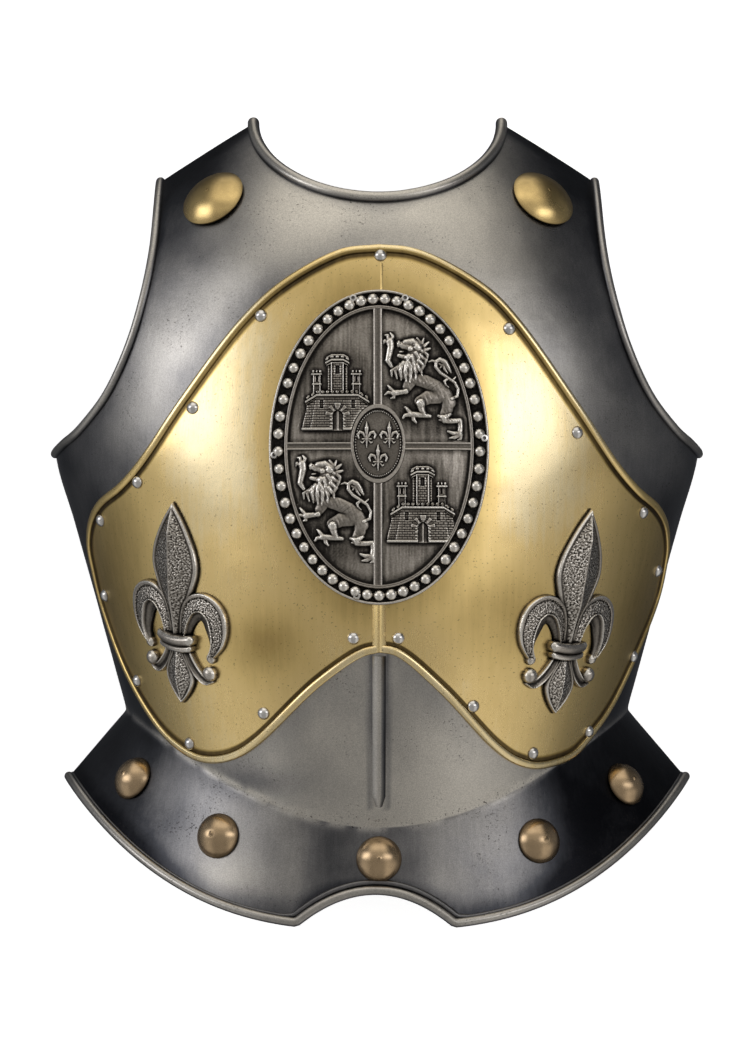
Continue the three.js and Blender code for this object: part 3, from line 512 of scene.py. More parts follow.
class Metal(Nodes):
    """A metal material, its colour and roughness fed by nodes."""

    def __init__(self, name):
        self.material = bpy.data.materials.new(name)
        self.material.use_nodes = True
        super().__init__(self.material.node_tree)
        self.shader = self.tree.nodes["Principled BSDF"]
        self.shader.inputs["Metallic"].default_value = 1.0
        self.place = self.add("ShaderNodeTexCoord").outputs["Object"]

    def noise(self, scale, stretch=(1, 1, 1), detail=2.0, rough=0.5):
        """Noise from 0 to 1, with scale hills a metre, fewer along an axis with a small stretch."""
        mapping = self.add("ShaderNodeMapping")
        place = self.fill(mapping, Vector=self.place, Scale=[scale * k for k in stretch])[0]
        node = self.add("ShaderNodeTexNoise")
        return self.fill(node, Vector=place, Scale=1.0, Detail=detail, Roughness=rough)["Fac"]

    def mask(self, name="mask"):
        return self.add("ShaderNodeAttribute", attribute_name=name).outputs["Fac"]

    def varied(self, level, *noises):
        """A level from 0 to 1, moved up and down by each (noise, amount)."""
        for i, (noise, amount) in enumerate(noises, 1):
            change = self.math("MULTIPLY", self.math("SUBTRACT", noise, 0.5), amount)
            level = self.math("ADD", level, change, clamp=i == len(noises))
        return level

    def ramp(self, value, stops):
        node = self.add("ShaderNodeValToRGB")
        items = node.color_ramp.elements
        while len(items) < len(stops):
            items.new(0.5)
        for item, (place, colour) in zip(items, stops):
            item.position = place
            item.color = (*colour, 1)
        return self.fill(node, Fac=value)["Color"]

    def mix(self, share, colour, other):
        """A colour turned towards another, plain one by a share from 0 to 1."""
        node = self.add("ShaderNodeMix", data_type="RGBA")
        for key, item in (("Factor", share), (6, colour), (7, (*other, 1))):
            self.set(node.inputs[key], item)
        return node.outputs[2]

    def finish(self, colour, roughness, height, depth, strength):
        """Wires up the shader, with a bump where a height of 0 to 1 stands for depth millimetres."""
        bump = self.fill(self.add("ShaderNodeBump"), Strength=strength, Distance=depth / 1000,
                         Height=height)["Normal"]
        self.fill(self.shader, Base_Color=colour, Roughness=roughness, Normal=bump)
        return self.material


BRUSHED = (1.0, 0.03, 1.0)          # brushing runs up the plate


def steel_material():
    g = Metal("hammered_steel")
    cloud = g.noise(14, detail=4, rough=0.62)
    fine = g.noise(2600, BRUSHED, detail=3, rough=0.6)
    streak = g.noise(420, (1, 0.05, 1), detail=3)
    grain = g.noise(1500, detail=2, rough=0.7)
    colour = g.ramp(g.varied(g.mask(), (cloud, 0.46), (streak, 0.10), (fine, 0.07)), [
        (0.0, (0.012, 0.013, 0.017)), (0.22, (0.06, 0.062, 0.070)), (0.45, (0.22, 0.215, 0.215)),
        (0.70, (0.44, 0.42, 0.39)), (1.0, (0.68, 0.64, 0.57)),
    ])
    colour = g.mix(g.band(grain, 0.30, 0.72, 0.30, 0.0), colour, (0.03, 0.028, 0.027))
    blotch = g.band(g.noise(38, detail=3), 0.48, 0.66, 0.12, 0.75)
    blotch = g.math("ADD", blotch, g.mask("mark"), clamp=True)
    pits = g.math("MULTIPLY", g.band(g.noise(760, detail=2), 0.62, 0.70), blotch)
    colour = g.mix(g.math("MULTIPLY", pits, 0.8), colour, (0.035, 0.030, 0.028))
    rough = g.math("ADD", g.band(cloud, 0.3, 0.7, 0.28, 0.38), g.math("MULTIPLY", pits, 0.15))
    height = g.noise(120, detail=3)
    for texture, share in ((fine, 0.3), (grain, 0.3), (pits, -0.8)):
        height = g.math("ADD", height, g.math("MULTIPLY", texture, share))
    return g.finish(colour, rough, height, 0.12, 0.8)


def brass_material():
    g = Metal("satin_brass")
    cloud = g.noise(22, detail=4, rough=0.6)
    fine = g.noise(2400, BRUSHED, detail=3, rough=0.6)
    streak = g.noise(300, (1, 0.04, 1), detail=3)
    level = g.varied(g.mask(), (cloud, 0.28), (streak, 0.16), (fine, 0.10))
    # The palest stop colours the painted highlight where the side lights fall.
    colour = g.ramp(level, [
        (0.0, (0.96, 0.80, 0.48)), (0.14, (0.91, 0.68, 0.30)), (0.30, (0.80, 0.59, 0.24)),
        (0.55, (0.50, 0.355, 0.13)), (0.80, (0.21, 0.145, 0.055)), (1.0, (0.07, 0.05, 0.025)),
    ])
    specks = g.band(g.noise(820, detail=1), 0.68, 0.74)
    colour = g.mix(g.math("MULTIPLY", specks, 0.55), colour, (0.20, 0.13, 0.05))
    dents = g.math("MULTIPLY", g.noise(90, detail=2), 0.8)
    height = g.math("ADD", g.math("MULTIPLY", fine, 0.4), dents)
    return g.finish(colour, g.band(level, 0.0, 0.9, 0.26, 0.42), height, 0.09, 0.6)


def pewter_material():
    g = Metal("cast_pewter")
    wear = g.mask()
    grain = g.noise(900, detail=3, rough=0.6)
    colour = g.ramp(g.varied(wear, (grain, 0.35)), [
        (0.0, (0.006, 0.0055, 0.005)), (0.25, (0.045, 0.040, 0.035)), (0.5, (0.19, 0.17, 0.145)),
        (0.75, (0.45, 0.41, 0.36)), (1.0, (0.82, 0.78, 0.71)),
    ])
    height = g.math("ADD", grain, g.math("MULTIPLY", g.noise(1400, (1, 0.06, 1), detail=2), 0.8))
    return g.finish(colour, g.band(wear, 0.1, 0.9, 0.5, 0.27), height, 0.12, 0.8)


def dome_material(name, bright, dark):
    g = Metal(name)
    level = g.varied(g.mask(), (g.noise(160, detail=4, rough=0.6), 0.5))
    middle = tuple(0.5 * (a + b) for a, b in zip(bright, dark))
    colour = g.ramp(level, [(0.0, bright), (0.5, middle), (1.0, dark)])
    return g.finish(colour, g.band(level, 0.0, 1.0, 0.22, 0.42), g.noise(900, detail=3), 0.05, 0.5)


STEEL = steel_material()
BRASS = brass_material()
PEWTER = pewter_material()
RIVET_STEEL = dome_material("rivet_steel", (0.80, 0.78, 0.75), (0.22, 0.21, 0.20))
BOSS_BRASS = dome_material("boss_brass", (0.82, 0.60, 0.26), (0.10, 0.07, 0.03))
BRONZE = dome_material("antique_bronze", (0.66, 0.48, 0.29), (0.09, 0.06, 0.035))


# ------------------------------------------------------------------ the steel plate

def upright(rib, count, x, height=0.0):
    """Places and normals up a rib of the chest."""
    y = rib["top_y"] + (rib["end_y"] - rib["top_y"]) * np.linspace(0, 1, count)
    return chest_at(np.full(count, x), y, height)


def plate_piece():
    shape = Shape()
    columns = 225
    s = np.linspace(-1, 1, columns)
    by_crease = [0, 0.003, 0.006, 0.009, 0.013, 0.018, 0.024, 0.031, 0.039]
    t = np.concatenate([by_crease, np.linspace(0.048, 1, 100)])
    down = np.concatenate([np.linspace(1, 0.12, 16), [0.09, 0.06, 0.04, 0.02]])
    turn, y = chest_patch(s[None], t[:, None])
    above, _ = chest(turn, y)
    points = np.concatenate([flange(s[None], down[:, None]), above])
    fold = len(down)
    rows = np.arange(len(points))
    ease = np.exp(-((rows - fold) / 3.0) ** 2)[1:-1, None, None]
    for _ in range(2):
        points[1:-1] += 0.45 * ease * (0.5 * (points[:-2] + points[2:]) - points[1:-1])
    normals = grid_normals(points)

    x, y, z = np.moveaxis(points, -1, 0)
    around = np.sign(x) * np.arctan2(np.abs(x), z) * PLATE_RADIUS
    below = y - crease_y(turn_of(x, np.maximum(y, WAIST_Y - WAIST_DIP - 0.5)))
    worn = np.exp(-(below / 3.0) ** 2)
    dents = 0.20 * noise(around, y, 38, 3) + 0.07 * noise(around, y, 15, 4)
    dents = dents + worn * (0.20 * noise(around, y, 6, 5) + 0.14 * noise(around, y, 3.2, 6))
    points = points + normals * dents[..., None]

    tone = plate_tone(x, y, worn, around, fold)
    outer = shape.add(points, tone, worn)
    inner = shape.add(points - normals * STEEL_WALL, 0.35 + 0.15 * noise(around, y, 30, 8))
    shape.sheet(outer)
    shape.sheet(inner, flip=True)
    for a, b, flip in ((outer[0], inner[0], True), (outer[-1], inner[-1], False),
                       (outer[:, 0], inner[:, 0], False), (outer[:, -1], inner[:, -1], True)):
        shape.sheet(np.stack([a, b]), flip=not flip)

    def roll(line, line_normals, radius, crest_tone):
        """A rolled edge, bright along its crest and dark where it meets the plate: wear, with a painted
        highlight and painted shade.
        """
        centre = line + line_normals * (radius / 3 - STEEL_WALL / 2)
        section = ring(18, radius)
        rise = section[:, 1] / radius
        tones = 0.24 + (crest_tone - 0.24) * step(0.2, 0.85, rise)
        sweep(shape, centre, line_normals, section, mask=tones, round_ends=True)

    on_neck = np.abs(s) <= NECK_SHARE + 1e-9
    up = fold + np.searchsorted(t, SIDE_SHARE)
    roll(points[-1][on_neck], normals[-1][on_neck], NECK_ROLL, 0.95)
    for column in (0, -1):
        roll(points[up:, column], normals[up:, column], ARMHOLE_ROLL, 0.8)
    roll(points[0], normals[0], RIM_ROLL, 0.8)
    inward = unit(points[3] - points[0])
    size = 0.55 + 0.45 * step(ARCH_SHARE + 0.03, ARCH_SHARE - 0.01, np.abs(s))
    inner_bead = points[0] + inward * (1.4 + 3.2 * size)[:, None] - normals[0] * 0.3
    sweep(shape, inner_bead, normals[0], ring(10, 1.8), sizes=size, mask=0.42, round_ends=True)

    count = 30
    place, normal = upright(RIB, count, 0.0)
    w, h = RIB["half_width"], RIB["height"]
    section = [(-w, -0.8), (w, -0.8), (w * 0.9, 0.1), (1.3, h), (0.7, h), (-w * 0.9, 0.1)]
    size = 1 - 0.5 * step(0.93, 1.0, np.linspace(0, 1, count))
    # The rib is bright on its top and left flank and dark on its right flank: painted highlight and
    # painted shade.
    sweep(shape, place, normal, section, sizes=size, mask=[0.2, 0.1, 0.12, 0.65, 0.95, 0.78])
    piece("steel_plate", shape, STEEL, ["breastplate"])


# Darker patches of the steel below the overlay's notch and above the left of the crease: amount, centre
# and size.
DARK_PATCHES = [
    (-0.12, (0, -104), (34, 26)), (-0.10, (-40, -150), (30, 12)), (-0.30, (-74, -150), (24, 9)),
]


def plate_tone(x, y, worn, around, fold):
    """How bright the steel is: warm and light in the middle, darker at the shoulders, with painted shade
    towards the sides and beside the rolls, rib and overlay, a painted highlight on the flange, and wear
    with a painted highlight along the crease.

    worn is 1 along the waist crease, around the distance round the plate, and fold the crease's row.
    """
    side = np.abs(around)
    row = np.arange(len(x))[:, None]
    column = np.arange(x.shape[1])[None]
    # Painted shade towards the sides and on the right; darker on the shoulders, more on the left.
    tone = 0.95 - 0.60 * step(55, 215, side)
    tone = tone - np.where(x < 0, 0.42, 0.26) * step(120, 210, y) * step(55, 118, np.abs(x))
    tone = tone - 0.06 * step(60, 120, x) * step(-60, 60, y)
    # The flange: painted shade towards its sides, in its middle and on its right, and a painted
    # highlight near its lower left rim.
    skirt = 0.66 - 0.5 * step(70, 190, side) - 0.30 * step(52, 20, np.abs(x + 4))
    skirt = skirt - 0.22 * step(26, 50, x) - 0.10 * step(70, 120, x)
    skirt = skirt + 0.22 * blob(x, y, (-96, -206), (22, 12))
    tone = np.where(row < fold, skirt, tone)
    # Brighter along the crease, more on the left: wear, with a painted highlight.
    tone = tone + np.where(x < 0, 0.44, 0.28) * worn * step(-0.4, 0.4, noise(around, y, 9, 7) + 0.3)
    tone = tone + 0.10 * noise(around, y, 46, 13) + 0.06 * noise(around, y, 17, 14)
    # Painted shade along the rim, along the top edge and beside the armhole rolls.
    tone = tone - 0.30 * step(4.5, 0.5, row) - 0.28 * step(len(x) - 4, len(x) - 1.5, row)
    tone = tone - 0.20 * step(6, 1, np.minimum(column, column[:, ::-1])) * (y > ARMHOLE_Y - 4)
    # Painted shade along both sides of the rib and along the overlay's edge.
    beside_rib = np.exp(-((np.abs(x) - 5.0) / 1.4) ** 2) * (y < RIB["top_y"]) * (y > RIB["end_y"] - 2)
    tone = tone - 0.46 * beside_rib - shade_beside_brass(x, y)
    # Darker patches, and the crease brighter towards the sides as wear with a painted highlight.
    tone = with_patches(tone, x, y, DARK_PATCHES) + 0.12 * worn * step(60, 90, side)
    return np.clip(tone, 0.02, 1)


def shade_beside_brass(x, y):
    """Painted shade: a darker band of steel along the overlay's edge, strongest over its left shoulder.
    """
    near = np.full(x.shape, 1e3)
    for px, py in brass_outline(160):
        near = np.minimum(near, np.hypot(x - px, y - py))
    share = 0.10 + 0.20 * step(40, 110, y) * step(10, -30, x)
    share = share + 0.10 * step(-40, -110, y) * step(0, -30, x)
    return share * np.exp(-(near / 12) ** 2)


# ------------------------------------------------------------------ the brass overlay

def brass_outline(count):
    right = curve(BRASS_RIGHT, 24)
    left = curve([BRASS_RIGHT[-1], *BRASS_LEFT, BRASS_RIGHT[0]], 24)
    half = np.linspace(0, 1, count // 2 + 1)
    return np.vstack([spaced(right, half)[:-1], spaced(left, half)[:-1]])


def brass_piece():
    shape = Shape()
    line = brass_outline(640)
    edge, normal = chest_at(line[:, 0], line[:, 1])
    way = unit(np.roll(edge, -1, 0) - np.roll(edge, 1, 0))
    inward = unit(np.cross(normal, way))

    def inset(distance):
        p = edge + inward * distance
        return np.arctan2(p[:, 0] / half_width_at(p[:, 1]), p[:, 2] / crest_at(p[:, 1])), p[:, 1]

    width, height = BEAD["width"], BEAD["height"]
    profile = [(0, 0), (0, 0.7)]
    profile += [(width / 2 * (1 - math.cos(a)), 0.9 + height * math.sin(a) ** 0.8)
                for a in np.radians([12, 28, 45, 62, 80, 100, 118, 135, 152, 168])]
    profile += [(width + 0.3, 0.75), (width + 0.9, 0.82), (width + 1.8, BRASS_WALL)]
    rows, masks = [], []
    for distance, high in profile:
        turn, y = inset(distance)
        rows.append(chest(turn, y, BRASS_FLOOR + high)[0])
        inner_side = distance > 0.62 * width
        # On the bead's inner side: darker in the groove at its foot, and painted shade on its slope over
        # the upper part; lighter along its top.
        groove = 0.75 if inner_side and high < 1.6 else 0.0
        shaded = 0.55 * step(30, 110, y) if inner_side else 0.0
        masks.append(brass_darkness(rows[-1]) + np.maximum(groove, shaded) - (0.1 if high > 2 else 0))
    outer_turn, outer_y = inset(width + 1.8)
    for share in np.linspace(0.985, 0.06, 62):
        turn, y = outer_turn * share, outer_y * share
        around = turn * BRASS_RADIUS
        bumps = 0.10 * noise(around, y, 30, 11) + 0.05 * noise(around, y, 12, 12)
        fade = step(1, 0.93, share)
        rows.append(chest(turn, y, BRASS_FACE + bumps * fade)[0])
        masks.append(brass_darkness(rows[-1]))
    top = shape.add(np.array(rows), np.clip(np.array(masks), 0, 1))
    shape.sheet(top, wrap=True)
    shape.fan(top[-1], chest(0.0, 0.0, BRASS_FACE)[0], mask=0.3)
    under = [top[0]]
    for share in (0.98, 0.8, 0.6, 0.4, 0.2, 0.06):
        turn, y = outer_turn * share, outer_y * share
        under.append(shape.add(chest(turn, y, BRASS_FLOOR)[0], 0.5))
    shape.sheet(np.array(under), flip=True, wrap=True)
    shape.fan(under[-1], chest(0.0, 0.0, BRASS_FLOOR)[0], flip=True)

    w, h = RIB["half_width"], RIB["height"]
    section = [(-w, -0.5), (w, -0.5), (w * 0.9, 0.15), (w * 0.45, h * 0.55), (0.5, h), (-0.5, h),
               (-w * 0.45, h * 0.55), (-w * 0.9, 0.15)]
    sweep(shape, *upright(BRASS_RIB, 16, 0.0, BRASS_FACE), section, mask=0.12)
    section = [(-1.1, -0.3), (1.1, -0.3), (0.5, 0.35), (-0.2, 0.55)]
    sweep(shape, *upright(RIDGE, 16, 1.6, BRASS_FACE), section, mask=0.25)
    piece("brass_overlay", shape, BRASS, ["brass_plate"])


# Patches of the brass's darkness: amount, centre and size. The two that lighten it are painted
# highlight, paler brass where the side lights fall; the one at (76, -50) is painted shade below the
# right highlight; the others darken it.
BRASS_PATCHES = [
    (-0.17, (-88, 62), (30, 62)), (-0.17, (94, 46), (32, 66)), (0.42, (-66, -68), (24, 20)),
    (0.18, (158, -62), (18, 30)), (0.14, (-40, 140), (30, 16)), (0.16, (-152, -40), (20, 60)),
    (0.34, (76, -50), (36, 30)), (0.14, (40, 128), (30, 12)), (0.10, (-20, -52), (16, 12)),
]


def brass_darkness(points):
    """0 on the palest brass, up to 1 on the darkest: painted shade towards the sides, darker in a ring
    round the medallion, and patches that hold painted highlight and shade.
    """
    x, y = points[..., 0], points[..., 1]
    level = with_patches(0.15 + 0.20 * step(110, 170, np.abs(x)), x, y, BRASS_PATCHES)
    return level + 0.25 * step(1.22, 1.0, oval_share(x, y - MEDALLION["y"], MEDALLION))


# ------------------------------------------------------------------ rivets, bosses and pins

def turned_pieces(title, part, places, profile, sides, masks, material, shade=None):
    """One turned piece for each place, each standing for the CAD node of its number."""
    for i, place in enumerate(places, 1):
        shape = Shape()
        turned(shape, place, profile, sides, masks, shade)
        piece(f"{title}_{i}_{part}", shape, material, [f"{title}_{i}"])


def rivet_pieces():
    head, shank, tail, tail_rise = (RIVET[k] for k in ("head", "shank", "tail", "tail_rise"))
    top = dome(head, RIVET["rise"], MOUNT_FLOOR + 0.1, 9)
    profile = [(0, TAIL - tail_rise), (tail * 0.7, TAIL - tail_rise), (tail, TAIL), (shank, TAIL),
               (shank, BRASS_FLOOR), (head, BRASS_FACE), *top]
    # Darker round the foot of the head, as painted shade.
    masks = [0.7] * 6 + [0.75, 0.35] + [0.15] * (len(top) - 2)
    places = [chest_at(x, y) for x, y in RIVETS]
    turned_pieces("rivet", "dome", places, profile, 26, masks, RIVET_STEEL)


def boss_profile(boss):
    """(radius, height) pairs of a hollow boss on its post, and how many come before its outside."""
    radius, rise = boss["radius"], boss["rise"]
    wall, post, tail, tail_rise, lip_height = 1.1, 2.5, 4.5, 1.6, SEAT - 0.55
    top = SEAT + rise
    back = [(0, TAIL - tail_rise), (tail * 0.8, TAIL - tail_rise), (tail, TAIL), (post, TAIL),
            (post, top - wall - 0.6)]
    inner = [(r * (radius - wall) / radius, h - wall * 0.8)
             for r, h in dome(radius, rise, SEAT, 6) if r > post + 1.5]
    lip = [(radius - wall, lip_height), (radius, lip_height)]
    outer = [(r, h) for r, h in dome(radius, rise, SEAT, 16) if r > 1.3]
    pip = [(1.0, top - 0.05), (0.5, top + 0.35), (0, top + 0.45)]
    return back + inner[::-1] + lip + outer + pip, len(back) + len(inner) + len(lip)


def boss_pieces(title, boss, places, sides, masks, material, shade=None):
    """masks are those of the inside, the two rows at the rim, the dome, and the pip's three rows."""
    inside, rim, face, pip = masks
    profile, first = boss_profile(boss)
    rows = [inside] * first + rim + [face] * (len(profile) - first - 5) + pip
    turned_pieces(title, "dome", places, profile, sides, rows, material, shade)


def shoulder_shade(offset, hand):
    """Painted shade on the upper, outer face of a shoulder boss."""
    upward = (0.45 * hand * offset[..., 0] + 0.9 * offset[..., 1]) / SHOULDER_BOSS["radius"]
    return 0.42 * step(-0.35, 0.75, upward)


def pin_pieces():
    profile = [(0, TAIL - 1), (2.2, TAIL - 1), (2.6, TAIL), (1.7, TAIL), (1.7, PIN_TOP - 2.4),
               (2.2, PIN_TOP - 2.3), (2.35, PIN_TOP - 0.7), (1.9, PIN_TOP), (1.1, PIN_TOP + 0.1),
               (0.8, PIN_TOP - 0.3), (0.7, PIN_TOP - 1.6), (0, PIN_TOP - 1.7)]
    masks = [0.8] * 4 + [0.9, 0.6, 0.2, 0.0, 0.1, 0.5, 1.0, 1.0]
    places = [chest_at(x, y) for x, y in PINS]
    turned_pieces("medallion_pin", "tube", places, profile, 20, masks, RIVET_STEEL)


# ------------------------------------------------------------------ relief

def segments(u, v, stroke):
    """For each length of a tapered stroke of (x, y, radius): its radius beside each place, the
    distance to its middle line, and the distance to the left of that line."""
    for (x0, y0, r0), (x1, y1, r1) in zip(stroke, stroke[1:]):
        dx, dy = x1 - x0, y1 - y0
        t = np.clip(((u - x0) * dx + (v - y0) * dy) / (dx * dx + dy * dy), 0, 1)
        left = (dx * (v - y0) - dy * (u - x0)) / math.hypot(dx, dy)
        yield r0 + (r1 - r0) * t, np.hypot(u - x0 - t * dx, v - y0 - t * dy), left


def strokes_height(u, v, strokes, fullness, power):
    """Rounded relief over tapered strokes, melted together where they meet."""
    total = np.zeros(u.shape)
    for stroke in strokes:
        here = np.zeros(u.shape)
        for r, d, _ in segments(u, v, stroke):
            here = np.maximum(here, fullness * r**0.62 * np.sqrt(np.clip(1 - (d / r) ** 2, 0, 1)))
        total = total + here**power
    return total ** (1 / power)


def stroke_field(u, v, stroke):
    """Depth inside one tapered stroke, and how far across it: 1 on its left edge, -1 on its right."""
    depth, across = np.full(u.shape, -1e3), np.zeros(u.shape)
    for r, d, left in segments(u, v, stroke):
        better = r - d > depth
        depth = np.where(better, r - d, depth)
        across = np.where(better, left / r, across)
    return depth, across


def blur(field, size):
    """Box blur, twice, with reach size cells each way."""
    for _ in range(2):
        for axis in (0, 1):
            pad = [(size + 1, size) if k == axis else (0, 0) for k in (0, 1)]
            run = np.cumsum(np.pad(field, pad, mode="edge"), axis=axis)
            span, length = 2 * size + 1, run.shape[axis]
            field = (np.take(run, range(span, length), axis=axis)
                     - np.take(run, range(length - span), axis=axis)) / span
    return field


def relief_wear(height, base, gain, reach):
    """Bright on what stands out of its surroundings, black in hollows; reach is in grid cells."""
    convex = height - blur(height, reach)
    wide = height - blur(height, reach * 3)
    return np.clip(base + gain * (1.5 * convex + 0.55 * wide), 0, 1)


def relief(shape, place, u, v, height, wear, low):
    """A patch of relief on the plate: cells whose corners all lie under low are left out."""
    points = place(u, v, height)
    index = shape.add(points, wear)
    shape.quads(cells(index)[cells(height > low).any(axis=-1)])


def on_medallion(u, v, height):
    return chest_at(u, v + MEDALLION["y"], GROUND + height)[0]


def with_halo(u, v, height, wear):
    """Blackens the ground close round a figure, with a skirt that lies just over it."""
    reach, skirt_height = 6, 0.0
    near = np.clip(blur((height > 0.1).astype(float), reach) * 2.2, 0, 1)
    skirt = (near > 0.02) & (height < skirt_height)
    wear = np.where(skirt, field_wear(u, v) * (1 - near) ** 1.5, wear)
    return np.where(skirt, skirt_height, height), wear


def medallion_part(name, shape, sharp):
    piece(name, shape, PEWTER, ["medallion"], sharp)


def patch(x0, x1, y0, y1, cell):
    return np.meshgrid(np.arange(x0, x1 + cell, cell), np.arange(y0, y1 + cell, cell))


# ------------------------------------------------------------------ the medallion

def medallion_ground():
    shape = Shape()
    around = np.linspace(0, 2 * math.pi, 360, endpoint=False)
    rim_w, rim_h = MEDALLION["half_width"], MEDALLION["half_height"]
    in_w, in_h = INNER_RIM["half_width"], INNER_RIM["half_height"]
    # Profile from the outer edge inwards: share of the way to the inner rim, height, wear.
    back = -2.3
    profile = [
        (0.0, back, 0.2), (0.0, -0.2, 0.35), (0.02, 0.35, 0.8), (0.07, 0.62, 0.95), (0.13, 0.5, 0.8),
        (0.17, 0.0, 0.15), (0.2, -0.75, 0.04), (0.3, -0.95, 0.04), (0.6, -1.0, 0.05), (0.9, -0.9, 0.04),
        (0.93, -0.4, 0.1), (0.96, 0.8, 0.55), (0.99, 1.3, 0.72), (1.03, 1.45, 0.8), (1.07, 1.15, 0.35),
        (1.11, 1.4, 0.72), (1.15, 1.25, 0.6), (1.18, 0.5, 0.2), (1.20, 0.0, 0.04), (1.26, -0.1, 0.08),
    ]
    rows, masks = [], []
    for share, height, wear in profile:
        w, h = rim_w + (in_w - rim_w) * share, rim_h + (in_h - rim_h) * share
        rows.append(on_medallion(w * np.sin(around), h * np.cos(around), height))
        masks.append(np.full(len(around), wear))
    for grow in np.linspace(0.98, 0.03, 60):
        u, v = w * grow * np.sin(around), h * grow * np.cos(around)
        rows.append(on_medallion(u, v, -0.1 + 0.04 * noise(u, v, 6, 21)))
        masks.append(field_wear(u, v))
    index = shape.add(np.array(rows), np.array(masks))
    shape.sheet(index, flip=True, wrap=True)
    shape.fan(index[-1], on_medallion(0.0, 0.0, -0.1), flip=True)
    under = [index[0]]
    for grow in (0.97, 0.7, 0.4, 0.1):
        row = on_medallion(rim_w * grow * np.sin(around), rim_h * grow * np.cos(around), back)
        under.append(shape.add(row, 0.3))
    shape.sheet(np.array(under), wrap=True)
    shape.fan(under[-1], on_medallion(0.0, 0.0, back))
    cross_bars(shape)
    medallion_part("medallion_ground", shape, 60)


def field_wear(u, v):
    """Wear of the flat quarters: worn and light away from the figures, blackened close to them."""
    wear = 0.66 + 0.12 * noise(u, v * 0.08, 0.8, 22) + 0.05 * noise(u, v * 0.08, 2.4, 23)
    for x, y in CASTLES:
        wear = wear - 0.20 * step(1.3, 0.8, np.hypot((u - x) / 22, (v - y - 20) / 27))
    for x, y in LIONS:
        wear = wear - 0.30 * step(1.25, 0.85, np.hypot((u - x - 27) / 22, (v - y - 34) / 28))
    wear = wear - 0.25 * step(0.9, 0.96, oval_share(u, v, INNER_RIM))
    wear = wear - 0.25 * step(5.5, 2.5, np.minimum(np.abs(u - CROSS["x"]), np.abs(v - CROSS["y"])))
    return np.clip(wear, 0.05, 1)


def cross_bars(shape):
    """The two bars: flat ridges with a line cut along each edge, broken by the centre oval."""
    def bar(u, v, width):
        w = width / 2
        section = [(-w, -0.6), (w, -0.6), (w, 0.75), (w - 0.35, 1.2), (w - 0.8, 1.2), (w - 1.1, 0.8),
                   (-w + 1.1, 0.8), (-w + 0.8, 1.2), (-w + 0.35, 1.2), (-w, 0.75)]
        worn = [0.1, 0.1, 0.3, 0.85, 0.8, 0.42, 0.42, 0.8, 0.85, 0.3]
        sweep(shape, *chest_at(u, v + MEDALLION["y"], GROUND), section, mask=worn)

    reach = INNER_RIM["half_height"] - 0.8
    stop = SHIELD["half_height"] - 0.8
    for low, high in ((-reach, SHIELD["y"] - stop), (SHIELD["y"] + stop, reach)):
        v = np.linspace(low, high, 40)
        bar(np.full(v.shape, CROSS["x"]), v, CROSS["vertical"])
    reach = INNER_RIM["half_width"] - 0.6
    stop = SHIELD["half_width"] - 0.6
    for low, high in ((-reach, SHIELD["x"] - stop), (SHIELD["x"] + stop, reach)):
        u = np.linspace(low, high, 30)
        bar(u, np.full(u.shape, CROSS["y"]), CROSS["horizontal"])


def medallion_pearls():
    shape = Shape()
    for i in range(PEARL["count"]):
        angle = 2 * math.pi * i / PEARL["count"] + math.pi
        x = PEARL["half_width"] * math.sin(angle)
        y = MEDALLION["y"] + PEARL["half_height"] * math.cos(angle)
        radius = PEARL["radius"] * (1 + 0.03 * math.sin(5.1 * i))
        head = dome(radius, radius * 0.98, GROUND - 1.0, 9)
        profile = [(0, GROUND - 1.3), (radius * 0.9, GROUND - 1.3), *head]
        masks = [0.03, 0.03, 0.2, 0.5, 0.8] + [0.98] * (len(head) - 6) + [0.98, 0.95, 0.9]
        turned(shape, chest_at(x, y), profile, 20, masks)
    medallion_part("medallion_pearls", shape, PLAIN_SHARP)


BELOW = -0.5                        # a height under the medallion's ground: no relief there
COURSE = 1.42


